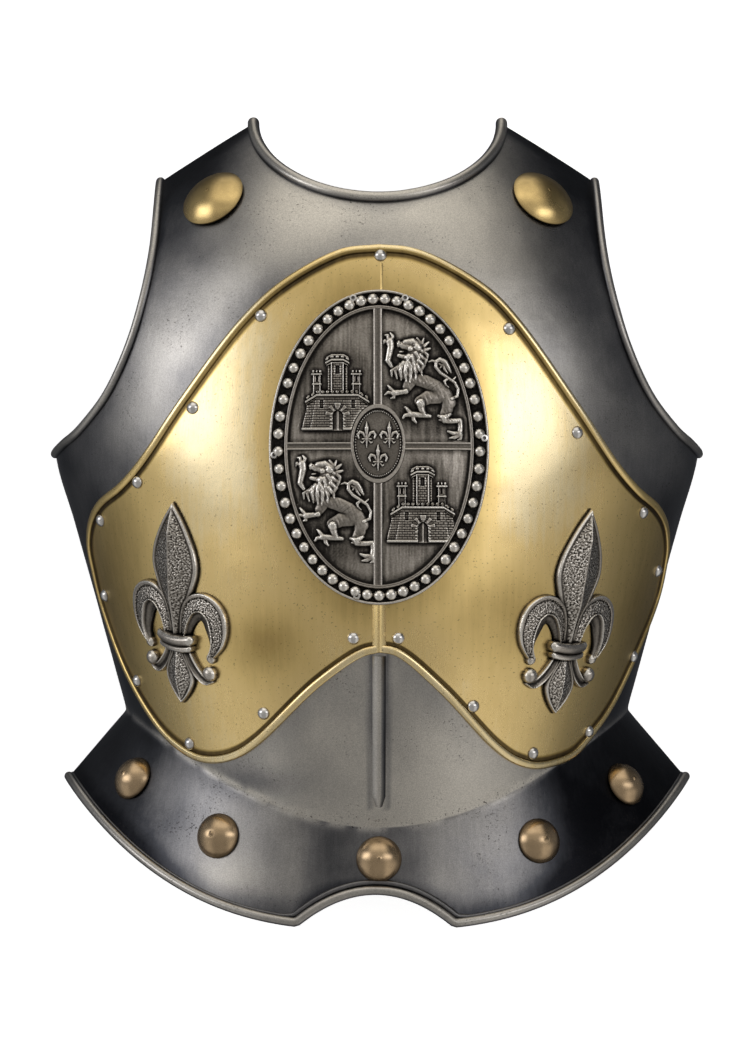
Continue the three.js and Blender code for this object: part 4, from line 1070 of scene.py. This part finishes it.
def castle_height(u, v):
    """Height over the ground of one castle, base at v = 0 and its middle at u = 0."""
    side = np.abs(u)
    h = np.full(u.shape, BELOW)

    def inside(value, low, high, soft=0.22):
        return step(low - soft, low + soft, value) * step(high + soft, high - soft, value)

    def raise_to(mask, level):
        nonlocal h
        h = np.where(mask > 0.001, np.maximum(h, BELOW + mask * (level - BELOW)), h)

    def joints(brick):
        """The upright joints between bricks of a length, half a brick aside in every other course."""
        return step(0.2, 0.1, np.abs(((u / brick + 0.5 * (row % 2)) % 1) - 0.5) * brick)

    # The wall on its spreading foot, with courses of stone and two slits.
    spread = 20 - 2.6 * step(0, 15, v)
    fall = 0.9 * step(12, 19, side)
    raise_to(inside(v, 0.3, 18.5) * step(spread + 0.3, spread - 0.3, side), 1.25 - fall)
    front = 15.6 - 3.6 * np.clip(v / 19, 0, 1)
    raise_to(inside(v, 0.3, 19.5) * step(front + 0.3, front - 0.2, side), 1.5)
    row = np.floor(v / COURSE)
    course = step(0.34, 0.16, np.abs((v / COURSE) % 1 - 0.02))
    wall = inside(v, 1.6, 19.0) * step(19, 18, side)
    h = h - wall * 0.42 * np.maximum(course, joints(2.9) * 0.9)
    for sign in (-1, 1):
        h = h - 0.8 * inside(np.abs(u - sign * 8.9), -1, 1.0) * inside(v, 12.4, 17.4)
    raise_to(inside(v, -0.2, 1.3) * step(20.4, 19.9, side), 1.9)

    # The door, with a fan of stones round its arch and a keystone.
    from_door, door_half, spring = u - 0.2, 2.7, 8.4
    arch = np.maximum(np.abs(from_door), np.hypot(from_door, np.maximum(v - spring, 0))) - door_half
    fan = inside(arch, 0.5, 4.2) * step(7.5, 8.5, v) * step(15, 14, v)
    spokes = step(-0.2, 0.35, np.cos(9 * np.arctan2(from_door, v - spring)))
    raise_to(fan * spokes, 2.0)
    jamb = inside(arch, 0.35, 1.8) * inside(v, 1.2, 8.2)
    raise_to(jamb * step(0.16, 0.34, np.abs((v / 1.9) % 1 - 0.5)), 1.95)
    h = np.where(arch < 0.2, np.minimum(h, 0.25 + 0.5 * step(0.8, 0.4, np.abs(from_door))), h)
    raise_to(step(2.3, 1.8, np.abs(from_door) + 0.25 * (15.6 - v)) * inside(v, 12.4, 15.4), 2.3)

    # The ledge on the wall, and its row of knobs.
    ledge = 20.0 - 0.62 * np.maximum(side - 11.6, 0)
    raise_to(inside(v - ledge, -0.9, 0.5) * step(18.4, 17.9, side), 2.5)
    raise_to(inside(v - ledge, -1.9, -1.3) * step(18.0, 17.5, side), 1.9)
    knob = np.hypot(((u / 2.75 + 0.5) % 1 - 0.5) * 2.75, v - ledge - 1.7)
    raise_to(step(1.3, 0.7, knob) * step(18.3, 17.8, side), 2.5)
    h = np.where(knob < 0.42, h - 0.6, h)

    # The tower, with its window, cap and merlons.
    raise_to(inside(v, 21, 39) * step(5.6, 5.2, side), 1.3 - 0.9 * step(3.2, 3.9, side))
    raise_to(inside(v, 21, 39) * inside(side, 3.0, 3.7, 0.15), 2.2)
    tower = inside(v, 23, 38.5) * step(5.4, 5.0, side)
    h = h - tower * (np.abs(side - 3.35) > 0.6) * 0.4 * np.maximum(course, joints(2.2))
    h = np.where((inside(u, -1.2, 1.2) * inside(v, 32, 37)) > 0.5, 0.1, h)
    cap = 40.2 - 0.55 * np.maximum(side - 3.4, 0)
    raise_to(inside(v - cap, -0.7, 0.5) * step(7.2, 6.7, side), 2.5)
    raise_to(inside(v - cap, -2.1, -1.3) * step(6.4, 5.9, side), 1.7)
    merlon = np.abs(((u / 2.9 + 0.5) % 1) - 0.5) * 2.9
    raise_to(inside(v - cap, 1.1, 2.5) * step(1.1, 0.7, merlon) * step(7.1, 6.6, side), 2.4)
    raise_to(inside(v - cap, 0.2, 3.4) * step(6.6, 6.1, side), 1.1)

    # A turret on each side.
    for centre in (-11.6, 10.7):
        d = np.abs(u - centre)
        raise_to(inside(v, 20, 32) * step(2.3, 1.9, d), 1.0)
        raise_to(inside(v, 20, 32) * inside(d, 1.5, 2.1, 0.15), 2.0)
        h = np.where((d < 0.7) & (v > 27.5) & (v < 31), 0.2, h)
        raise_to(inside(v, 25.7, 26.6, 0.15) * step(3.0, 2.6, d), 2.1)
        raise_to(inside(v, 31.4, 32.4, 0.15) * step(3.3, 2.9, d), 2.4)
        merlons = step(2.8, 2.4, d) * step(0.5, 0.9, np.abs(d - 0.9) + 0.2)
        raise_to(inside(v, 32.8, 34.3, 0.15) * merlons, 2.2)
    return h


def medallion_castles():
    for i, (x, y) in enumerate(CASTLES, 1):
        shape = Shape()
        u, v = patch(-22.5, 22.5, -2.5, 47, 0.23)
        height = castle_height(u, v)
        u, v = u + x, v + y
        hidden = oval_share(u - SHIELD["x"], v - SHIELD["y"], SHIELD, 0.2) < 1
        hidden |= oval_share(u, v, INNER_RIM, -1) > 1
        height = np.where(hidden, BELOW, height)
        height, wear = with_halo(u, v, height, relief_wear(height, 0.42, 0.75, 2))
        relief(shape, on_medallion, u, v, np.where(hidden, BELOW, height), wear, -0.35)
        medallion_part(f"medallion_castle_{i}", shape, 80)


# Rampant lion facing left, in strokes of x, y, radius from the middle of the medallion.
LION = dict(
    forehead=[(15.0, 59.8, 2.0), (19.0, 60.0, 2.6), (22.2, 57.6, 2.8)],
    muzzle=[(11.4, 59.2, 1.6), (14.0, 57.8, 1.9), (17.4, 56.8, 2.2)],
    nose=[(10.9, 58.0, 0.9), (11.2, 60.2, 1.0)],
    jaw=[(11.2, 52.4, 1.2), (13.4, 51.8, 1.4), (16.6, 51.6, 2.0)],
    tongue=[(11.8, 54.6, 0.5), (14.6, 55.0, 0.6)],
    ear=[(21.6, 62.4, 0.7), (23.4, 59.8, 1.3)],
    crown_a=[(25.4, 62.2, 0.6), (24.4, 59.4, 1.3)],
    crown_b=[(28.2, 60.2, 0.6), (25.4, 57.8, 1.4)],
    crown_c=[(29.0, 56.6, 0.6), (25.8, 55.6, 1.4)],
    lock_a=[(24.4, 55.2, 1.5), (27.4, 53.0, 1.2), (27.2, 50.0, 0.6)],
    lock_b=[(23.6, 52.4, 1.5), (26.6, 49.8, 1.2), (25.6, 46.8, 0.6)],
    lock_c=[(22.6, 49.4, 1.5), (25.4, 46.8, 1.2), (24.0, 43.6, 0.6)],
    lock_d=[(21.4, 46.4, 1.5), (23.6, 43.6, 1.2), (24.6, 40.8, 0.5)],
    lock_e=[(19.4, 46.6, 1.5), (21.0, 42.4, 1.2), (20.6, 38.4, 0.5)],
    lock_f=[(17.4, 47.4, 1.5), (18.2, 42.8, 1.3), (17.4, 36.8, 0.5)],
    lock_g=[(15.4, 48.0, 1.5), (14.8, 43.2, 1.3), (15.2, 37.2, 0.5)],
    lock_h=[(13.6, 48.2, 1.4), (11.8, 43.8, 1.2), (12.6, 38.4, 0.5)],
    lock_i=[(12.2, 47.4, 1.3), (9.2, 43.4, 1.1), (10.2, 39.2, 0.5)],
    lock_j=[(11.2, 46.2, 1.1), (7.0, 43.6, 1.0), (7.2, 40.6, 0.5)],
    lock_k=[(20.8, 53.8, 1.3), (22.6, 50.6, 1.1), (21.4, 47.8, 0.5)],
    lock_l=[(18.6, 52.0, 1.3), (20.0, 48.6, 1.1), (18.4, 45.8, 0.5)],
    lock_m=[(16.0, 50.2, 1.2), (16.8, 46.6, 1.0), (15.2, 44.0, 0.5)],
    mane=[(20.6, 54.5, 4.6), (19.4, 48.0, 6.2), (15.4, 43.6, 5.4)],
    back=[(20.5, 39.0, 3.4), (26.6, 37.4, 3.8), (32.4, 34.4, 4.0), (37.2, 30.0, 4.2), (39.8, 25.6, 4.0)],
    shoulder=[(18.0, 38.0, 3.8), (16.2, 34.6, 2.8), (15.2, 31.8, 1.9)],
    low_arm=[(15.4, 31.6, 1.6), (11.6, 31.2, 1.6), (8.4, 30.8, 2.0)],
    low_claw_a=[(8.2, 31.6, 1.2), (6.2, 33.8, 1.0), (5.0, 35.2, 0.5)],
    low_claw_b=[(7.8, 30.8, 1.2), (5.0, 31.2, 1.0), (3.2, 29.8, 0.5)],
    low_claw_c=[(8.4, 30.0, 1.2), (8.4, 28.4, 1.0), (6.8, 27.8, 0.5)],
    high_arm=[(7.0, 46.4, 1.2), (5.0, 49.6, 1.7), (5.8, 53.6, 1.9), (6.6, 57.4, 2.1), (6.2, 60.6, 2.3)],
    high_claw_a=[(6.8, 61.0, 1.3), (7.8, 63.6, 1.1), (6.4, 65.4, 0.5)],
    high_claw_b=[(5.4, 61.6, 1.3), (5.0, 64.0, 1.0), (3.4, 64.2, 0.5)],
    high_claw_c=[(4.8, 60.0, 1.1), (3.2, 61.0, 0.9), (2.6, 59.4, 0.4)],
    elbow=[(6.6, 48.0, 1.0), (7.6, 45.6, 0.5)],
    near_thigh=[(34.0, 28.2, 3.4), (28.0, 28.4, 4.0), (23.4, 26.0, 3.4)],
    near_shin=[(23.4, 25.0, 2.7), (24.4, 20.8, 1.9), (25.6, 18.6, 1.7)],
    near_heel=[(28.8, 17.6, 1.1), (25.4, 18.0, 1.6), (20.6, 18.4, 1.8), (17.6, 18.6, 1.9)],
    near_toe_a=[(17.6, 19.4, 1.5), (16.0, 21.6, 1.1), (14.8, 22.8, 0.6)],
    near_toe_b=[(17.0, 18.4, 1.5), (14.6, 18.0, 1.1), (13.4, 16.4, 0.6)],
    near_toe_c=[(19.2, 17.6, 1.5), (19.6, 15.6, 1.3), (20.9, 13.9, 0.7)],
    far_thigh=[(39.4, 26.4, 3.8), (38.8, 21.8, 3.3), (37.2, 17.8, 3.1)],
    far_tuft=[(33.6, 17.8, 0.8), (36.8, 16.4, 1.9), (40.6, 18.6, 0.9)],
    far_tuft_b=[(34.4, 15.4, 0.6), (37.0, 15.2, 1.4)],
    far_shin=[(37.0, 15.0, 1.7), (41.6, 14.8, 1.6), (45.8, 15.0, 1.6), (46.2, 11.6, 1.5),
              (45.8, 8.0, 1.7)],
    far_toe_a=[(45.6, 7.4, 1.6), (42.2, 7.6, 1.4), (39.2, 8.8, 0.7)],
    far_toe_b=[(45.6, 6.8, 1.6), (42.6, 5.4, 1.3), (40.2, 5.0, 0.6)],
    far_toe_c=[(46.2, 6.8, 1.5), (46.0, 4.6, 1.1), (44.6, 3.9, 0.5)],
    tail=[(41.0, 27.4, 1.0), (44.4, 29.2, 0.95), (45.0, 33.0, 0.95), (43.0, 37.0, 0.95),
          (39.2, 39.6, 1.0), (34.8, 42.6, 1.05), (32.2, 46.0, 1.1), (32.4, 49.0, 1.2),
          (34.6, 50.2, 1.5), (37.4, 48.6, 1.8), (39.2, 45.6, 1.5), (40.8, 42.8, 0.5)],
    tail_tuft=[(36.4, 47.2, 1.0), (37.2, 44.6, 0.9), (38.8, 42.4, 0.4)],
    tail_curl=[(34.0, 47.8, 0.6), (35.8, 46.8, 0.7), (34.6, 45.4, 0.4)],
    tail_leaf=[(39.0, 39.2, 0.9), (37.2, 37.8, 0.9), (37.6, 35.8, 0.7), (39.4, 34.2, 0.4)],
    tail_spike=[(32.6, 48.6, 0.9), (30.2, 49.6, 0.7), (28.0, 48.8, 0.3)],
    tail_spur=[(41.6, 38.2, 0.8), (43.6, 40.2, 0.4)],
)
UNDER_LION = -0.35                  # height where there is no lion
LION_TUFTS = [(1, (25.0, 25.4), (5, 3)), (1, (38.2, 18.0), (4.6, 3.4)), (1, (18, 45), (9, 9))]
LION_MASSES = ("mane", "back", "near_thigh", "far_thigh", "shoulder")


def lion_height(u, v):
    soft = strokes_height(u, v, [LION[k] for k in LION_MASSES], 0.62, 4)
    sharp = strokes_height(u, v, [s for k, s in LION.items() if k not in LION_MASSES], 1.15, 7)
    body = (soft**2.5 + sharp**2.5) ** 0.4 + 0.35 * np.minimum(soft, sharp)
    for x, y, size, depth in ((19.4, 58.2, 0.9, 1.1), (14.6, 54.9, 1.5, 0.9), (12.0, 59.4, 0.4, 0.6)):
        body = body - depth * np.exp(-((u - x) ** 2 + (v - y) ** 2) / size**2) * (body > 0.1)
    body = body + 0.8 * np.exp(-((u - 19.4) ** 2 + (v - 58.3) ** 2) / 0.2)
    ribs = step(0.2, 0.9, np.sin((u * 0.75 - v) * 2.2)) * blob(u, v, (30.5, 34.5), (5, 3))
    fur = noise(u + v * 0.35, v * 0.35, 0.9, 31) * step(0.6, 1.6, body)
    tufts = with_patches(0, u, v, LION_TUFTS)
    return body + fur * (0.06 + 0.26 * tufts) - 0.10 * ribs + UNDER_LION * (body < 0.02)


def medallion_lions():
    for i, (x, y) in enumerate(LIONS, 1):
        shape = Shape()
        u, v = patch(1.5, 49.5, 3.5, 66.5, 0.24)
        height = lion_height(u, v)
        u, v = u + x, v + y
        wear = np.clip(relief_wear(height, 0.26, 0.75, 2) + 0.22 * np.maximum(height, 0), 0, 1)
        height, wear = with_halo(u, v, height, wear)
        height = np.where(oval_share(u, v, INNER_RIM, -1.2) < 1, height, UNDER_LION)
        relief(shape, on_medallion, u, v, height, wear, -0.2)
        medallion_part(f"medallion_lion_{i}", shape, 80)


def both_sides(stroke):
    return [[(hand * x, y, r) for x, y, r in stroke] for hand in (1, -1)]


# Small fleur-de-lis of the centre oval, in strokes of x, y, radius.
SMALL_FLEUR = [
    [(0, 8.0, 0.3), (0, 4.4, 1.4), (0, 0.2, 0.9), (0, -2.2, 0.9), (0, -6.8, 0.3)],
    *both_sides([(0.9, -1.0, 0.6), (2.0, 1.5, 0.9), (3.9, 2.1, 1.0), (5.0, 0.4, 0.85),
                 (4.4, -1.4, 0.6)]),
    [(-2.3, -1.9, 0.6), (2.3, -1.9, 0.6)],
    *both_sides([(0.8, -2.4, 0.4), (2.4, -4.2, 0.5), (3.2, -3.6, 0.4)]),
]
SMALL_FLEURS = [(-6.4, 4.6), (6.4, 4.6), (0, -8.6)]


def medallion_shield():
    shape = Shape()
    w, h = SHIELD["half_width"], SHIELD["half_height"]
    u, v = patch(-w - 1, w + 1, -h - 1, h + 1, 0.2)
    radius = 0.5 * (w + h)
    depth = (1 - oval_share(u, v, SHIELD)) * radius     # about the distance in from the oval's edge
    height = np.where(depth > 0, 1.9 * step(0, 0.45, depth), -0.4)
    height = height - 0.9 * step(2.2, 2.8, depth)
    angle = np.arctan2(u / w, v / h)
    bead = np.hypot(depth - 3.6, ((angle * 36 / math.pi) % 1 - 0.5) * 1.5)
    height = height + 0.75 * step(0.62, 0.2, bead)
    for x, y in SMALL_FLEURS:
        height = height + strokes_height(u - x, v - y, SMALL_FLEUR, 1.3, 5) * (np.abs(v - y) < 9)
    field = 0.46 + 0.10 * blob(u, v, (0, 8), (7, 7))
    wear = np.where(depth < 2.4, 0.78, relief_wear(height, field, 0.9, 2))
    wear = np.where((depth > 2.2) & (depth < 3.0), 0.15, wear)
    wear = np.where(depth < 0.3, 0.3, wear)
    relief(shape, on_medallion, u + SHIELD["x"], v + SHIELD["y"], height, wear, -0.3)
    medallion_part("medallion_shield", shape, 80)


# ------------------------------------------------------------------ the large fleurs-de-lis

OFF_FLEUR = -3.0                    # height where there is no fleur
PETAL = (-20, 60.5)                 # low and high ends
FOOT = (-59, -22)
petal_width = smooth([
    (-20, 4.6), (-4, 7.6), (10, 13.4), (22, 16.6), (31, 15.4), (42, 11.0), (51, 6.2), (60.5, 0),
])
foot_width = smooth([(-59, 0), (-55, 4.6), (-49, 9.4), (-42, 11.8), (-35, 9.2), (-28, 5.2), (-24, 4)])
LOBE = curve([(6.4, -18, 3.2), (8.8, -8, 5.6), (13.4, -0.6, 7.6), (20.0, 1.6, 8.8), (26, -2.0, 9.5),
              (28.6, -8.8, 8.6), (29.2, -15.6, 6.4), (28.0, -21, 4.2), (26, -25, 2.9)], 6)
SCROLL = curve([(5.6, -23, 2.6), (9.2, -31, 3.2), (14.6, -37.6, 3.4), (20.4, -41.2, 3.0),
                (24.6, -40, 2.4)], 6)
LOBE_BALL = (25.2, -27.2, 3.2)
SCROLL_BALL = (24.2, -36.4, 4.6)
# Two bars of the band round the fleur: half length, y, radius, height of the axis.
BAND = [(11.2, -19.0, 3.1, 2.6), (10.8, -23.8, 1.9, 2.8)]


def ball_height(u, v, ball, base):
    x, y, r = ball
    inside = r * r - (u - x) ** 2 - (v - y) ** 2
    return np.where(inside > 0, base + np.sqrt(np.maximum(inside, 0)), OFF_FLEUR)


def leaf_height(side, v, ends, width_at, border, crest):
    """A leaf with a raised lip along its edge and a field that rises to a crease down its middle."""
    width = np.where((v > ends[0]) & (v < ends[1]), width_at(v), -9)
    depth = (width - side) * 0.93
    field = np.clip(1 - side / np.maximum(width - border, 0.5), 0, 1)
    height = 2.3 * step(-0.2, 1.1, depth) + 0.35 * step(border * 0.2, border * 0.6, depth)
    height = height - 0.75 * step(border * 0.8, border * 1.05, depth)
    height = height + crest * np.minimum(1, width / 11) * field
    return np.where(depth > 0, height, OFF_FLEUR), depth


def fleur_height(u, v):
    """Height of a fleur-de-lis in its own plane, and where its face is stippled."""
    side = np.abs(u)
    petal, petal_depth = leaf_height(side, v, PETAL, petal_width, 2.9, 5.6)
    foot, foot_depth = leaf_height(side, v, FOOT, foot_width, 2.3, 3.0)

    depth, across = stroke_field(side, v, LOBE)
    lip = step(0.60, 0.70, across)
    field = step(-0.34, -0.24, across) * (1 - lip)
    lobe = 2.2 * step(-0.2, 1.0, depth) + 0.75 * lip + 1.3 * field * step(0.75, -0.3, across)
    lobe = lobe + 1.5 * step(-0.42, -0.32, across) * step(-0.2, -0.3, across)
    lobe = lobe - 1.5 * step(-0.38, -0.9, across)
    lobe = np.where(depth > 0, lobe, OFF_FLEUR)
    lobe_stipple = field * step(0.5, 1.2, depth)

    depth, across = stroke_field(side, v, SCROLL)
    across = np.abs(across)
    scroll = 1.5 * step(-0.2, 0.9, depth) + 0.9 * step(0.45, 0.7, across)
    scroll = scroll - 0.5 * step(0.4, 0.1, across)
    scroll = np.where(depth > 0, scroll, OFF_FLEUR)

    height, stippled = np.full(u.shape, OFF_FLEUR), np.zeros(u.shape)
    tops = [(lobe, lobe_stipple), (scroll, 0.0), (petal, step(3.2, 3.7, petal_depth)),
            (foot, step(2.6, 3.0, foot_depth)), (ball_height(side, v, LOBE_BALL, 0.2), 0.0),
            (ball_height(side, v, SCROLL_BALL, 0.4), 0.0)]
    bend = 1.6 * (1 - (u / 13) ** 2)
    for reach, y, radius, axis in BAND:
        bar = ball_height(side - np.minimum(side, reach), v + bend, (0, y, radius), axis) + 1.2 * bend
        tops.append((np.where(bar > axis, bar, OFF_FLEUR), 0.0))
    for top, mask in tops:
        stippled = np.where(top > height, mask, stippled)
        height = np.maximum(height, top)
    stippled = stippled * np.where((side < 9) & (petal_depth > 0), step(0.3, 0.8, side), 1)
    height = height + stippled * (0.24 * noise(u, v, 0.56, 41) + 0.10 * noise(u, v, 1.1, 42))
    return height, stippled


def fleur_piece(place):
    u, v = patch(-38.6, 38.6, -60.4, 62, 0.26)
    height, stippled = fleur_height(u, v)
    turn0, lean = math.radians(place["turn"]), math.radians(place["lean"])
    cos, sin = math.cos(lean), math.sin(lean) * math.copysign(1, turn0)
    radius = math.hypot(float(half_width_at(place["y"])) * math.cos(turn0),
                        float(crest_at(place["y"])) * math.sin(turn0))

    def on_chest(a, b, height):
        return chest(turn0 + (a * cos - b * sin) / radius, place["y"] + b * cos + a * sin, height)

    wear = relief_wear(np.maximum(height, -1), 0.50, 0.30, 3)
    wear = np.where(stippled > 0.3, np.clip(0.60 + 3.0 * (height - blur(height, 2)), 0, 1), wear)
    wear = wear * step(-0.2, 1.7, height)
    casting, studs = Shape(), Shape()
    relief(casting, lambda a, b, rise: on_chest(a, b, FLEUR_BASE + rise)[0], u, v, height, wear,
           OFF_FLEUR + 0.1)
    profile = [(0, TAIL - 1.2), (2.6, TAIL - 1.2), (3.2, TAIL), (2, TAIL), (2, BRASS_FACE),
               (0, BRASS_FACE)]
    for along in (24, -38):
        turned(studs, on_chest(0, along, 0.0), profile, 16)
    name = f"fleur_de_lis_{place['name']}"
    piece(f"{name}_casting", casting, PEWTER, [name], sharp=70)
    piece(f"{name}_studs", studs, PEWTER, [name])


# ------------------------------------------------------------------ stage

def floor():
    mesh = bpy.data.meshes.new("floor")
    reach = 6.0
    corners = [(-reach, -reach, 0), (reach, -reach, 0), (reach, reach, 0), (-reach, reach, 0)]
    mesh.from_pydata(corners, [], [(0, 1, 2, 3)])
    obj = bpy.data.objects.new("floor", mesh)
    bpy.context.scene.collection.objects.link(obj)
    material = bpy.data.materials.new("pale_floor")
    material.use_nodes = True
    g = Nodes(material.node_tree)
    g.fill(g.tree.nodes["Principled BSDF"], Base_Color=(0.9, 0.9, 0.9, 1), Roughness=0.9,
           Emission_Color=(1, 1, 1, 1), Emission_Strength=0.75)
    mesh.materials.append(material)
    obj.visible_glossy = False
    obj.visible_diffuse = False


# Soft boxes of the studio, as seen by a surface that is tilted by these angles from face-up: tilt to
# the side and tilt towards the neck, each low, high and softness in degrees; strength; colour.
SOFT_BOXES = [
    ((-41, -23, 6), (4.3, 19, 5), 2.6, (1.0, 1.0, 1.03)),
    ((12, 30, 6), (4.6, 12, 5), 2.6, (1.0, 1.0, 1.03)),
    ((-25, 20, 9), (25, 62, 8), 0.98, (1.0, 0.965, 0.90)),
    ((-22, 22, 10), (8, 30, 6), 0.45, (1.0, 0.965, 0.90)),
    ((-26, 34, 14), (-60, 8, 8), 0.29, (1.0, 0.97, 0.92)),
    ((-46, -24, 7), (-46, -4, 8), 0.34, (1.0, 0.98, 0.95)),
    ((16, 44, 7), (-46, -4, 8), 0.36, (1.0, 0.98, 0.95)),
    ((-62, -30, 12), (-40, 50, 15), 0.20, (0.95, 0.97, 1.0)),
    ((38, 62, 10), (-30, 40, 15), 0.11, (0.95, 0.97, 1.0)),
]
AMBIENT = (0.058, 0.061, 0.068)


def studio():
    """Light from the soft boxes, and white where the camera looks past the part."""
    world = bpy.data.worlds.new("studio")
    bpy.context.scene.world = world
    world.use_nodes = True
    world.cycles.sampling_method = "NONE"
    world.node_tree.nodes.clear()
    g = Nodes(world.node_tree)

    # The direction halfway between a ray and straight up is the tilt of a mirror that sees it.
    halfway = g.vector("ADD", g.add("ShaderNodeTexCoord").outputs["Generated"], (0, 0, 1))
    split = g.fill(g.add("ShaderNodeSeparateXYZ"), Vector=halfway)
    tilts = [g.math("DEGREES", g.math("ARCTAN2", split[axis], split["Z"])) for axis in "XY"]

    total = AMBIENT
    for side, neck, strength, colour in SOFT_BOXES:
        share = strength
        for tilt, (low, high, soft) in zip(tilts, (side, neck)):
            for edge, way in ((low, soft), (high, -soft)):
                share = g.math("MULTIPLY", share, g.band(tilt, edge - way, edge + way))
        total = g.vector("ADD", total, g.vector("SCALE", colour, share))

    seen = g.fill(g.add("ShaderNodeBackground"), Color=(1, 1, 1, 1))[0]
    lit = g.fill(g.add("ShaderNodeBackground"), Color=total)[0]
    blend = g.add("ShaderNodeMixShader")
    from_camera = g.add("ShaderNodeLightPath").outputs["Is Camera Ray"]
    for socket, value in zip(blend.inputs, (from_camera, lit, seen)):
        g.set(socket, value)
    g.fill(g.add("ShaderNodeOutputWorld"), Surface=blend.outputs[0])


def camera():
    """Almost straight down from 4 m, a little to the left, with 0.45 m across the picture."""
    data = bpy.data.cameras.new("camera")
    data.sensor_fit = "HORIZONTAL"
    data.sensor_width = 36
    distance, picture_width = 4.0, 0.45
    aside, below, aim = -0.030, -0.0042, 0.0288
    data.lens = data.sensor_width * distance / picture_width
    data.clip_end = 50
    obj = bpy.data.objects.new("camera", data)
    bpy.context.scene.collection.objects.link(obj)
    obj.location = (aside, below, distance)
    obj.rotation_euler = (0, -math.atan2(aim, distance), 0)
    bpy.context.scene.camera = obj


# ------------------------------------------------------------------ assembly

plate_piece()
brass_piece()
rivet_pieces()
boss_pieces("shoulder_boss", SHOULDER_BOSS, [chest_at(x, y) for x, y in SHOULDER_BOSSES], 56,
            (0.8, [0.55, 0.30], 0.20, [0.4, 0.8, 0.9]), BOSS_BRASS, shoulder_shade)
boss_pieces("fauld_boss", FLANGE_BOSS, [flange_place(*place) for place in FLANGE_BOSSES], 48,
            (0.9, [0.8, 0.6], 0.3, [0.3, 0.7, 0.8]), BRONZE)
medallion_ground()
medallion_pearls()
medallion_castles()
medallion_lions()
medallion_shield()
pin_pieces()
for fleur in FLEURS:
    fleur_piece(fleur)
floor()
studio()
camera()
bpy.context.scene.view_settings.view_transform = "Standard"
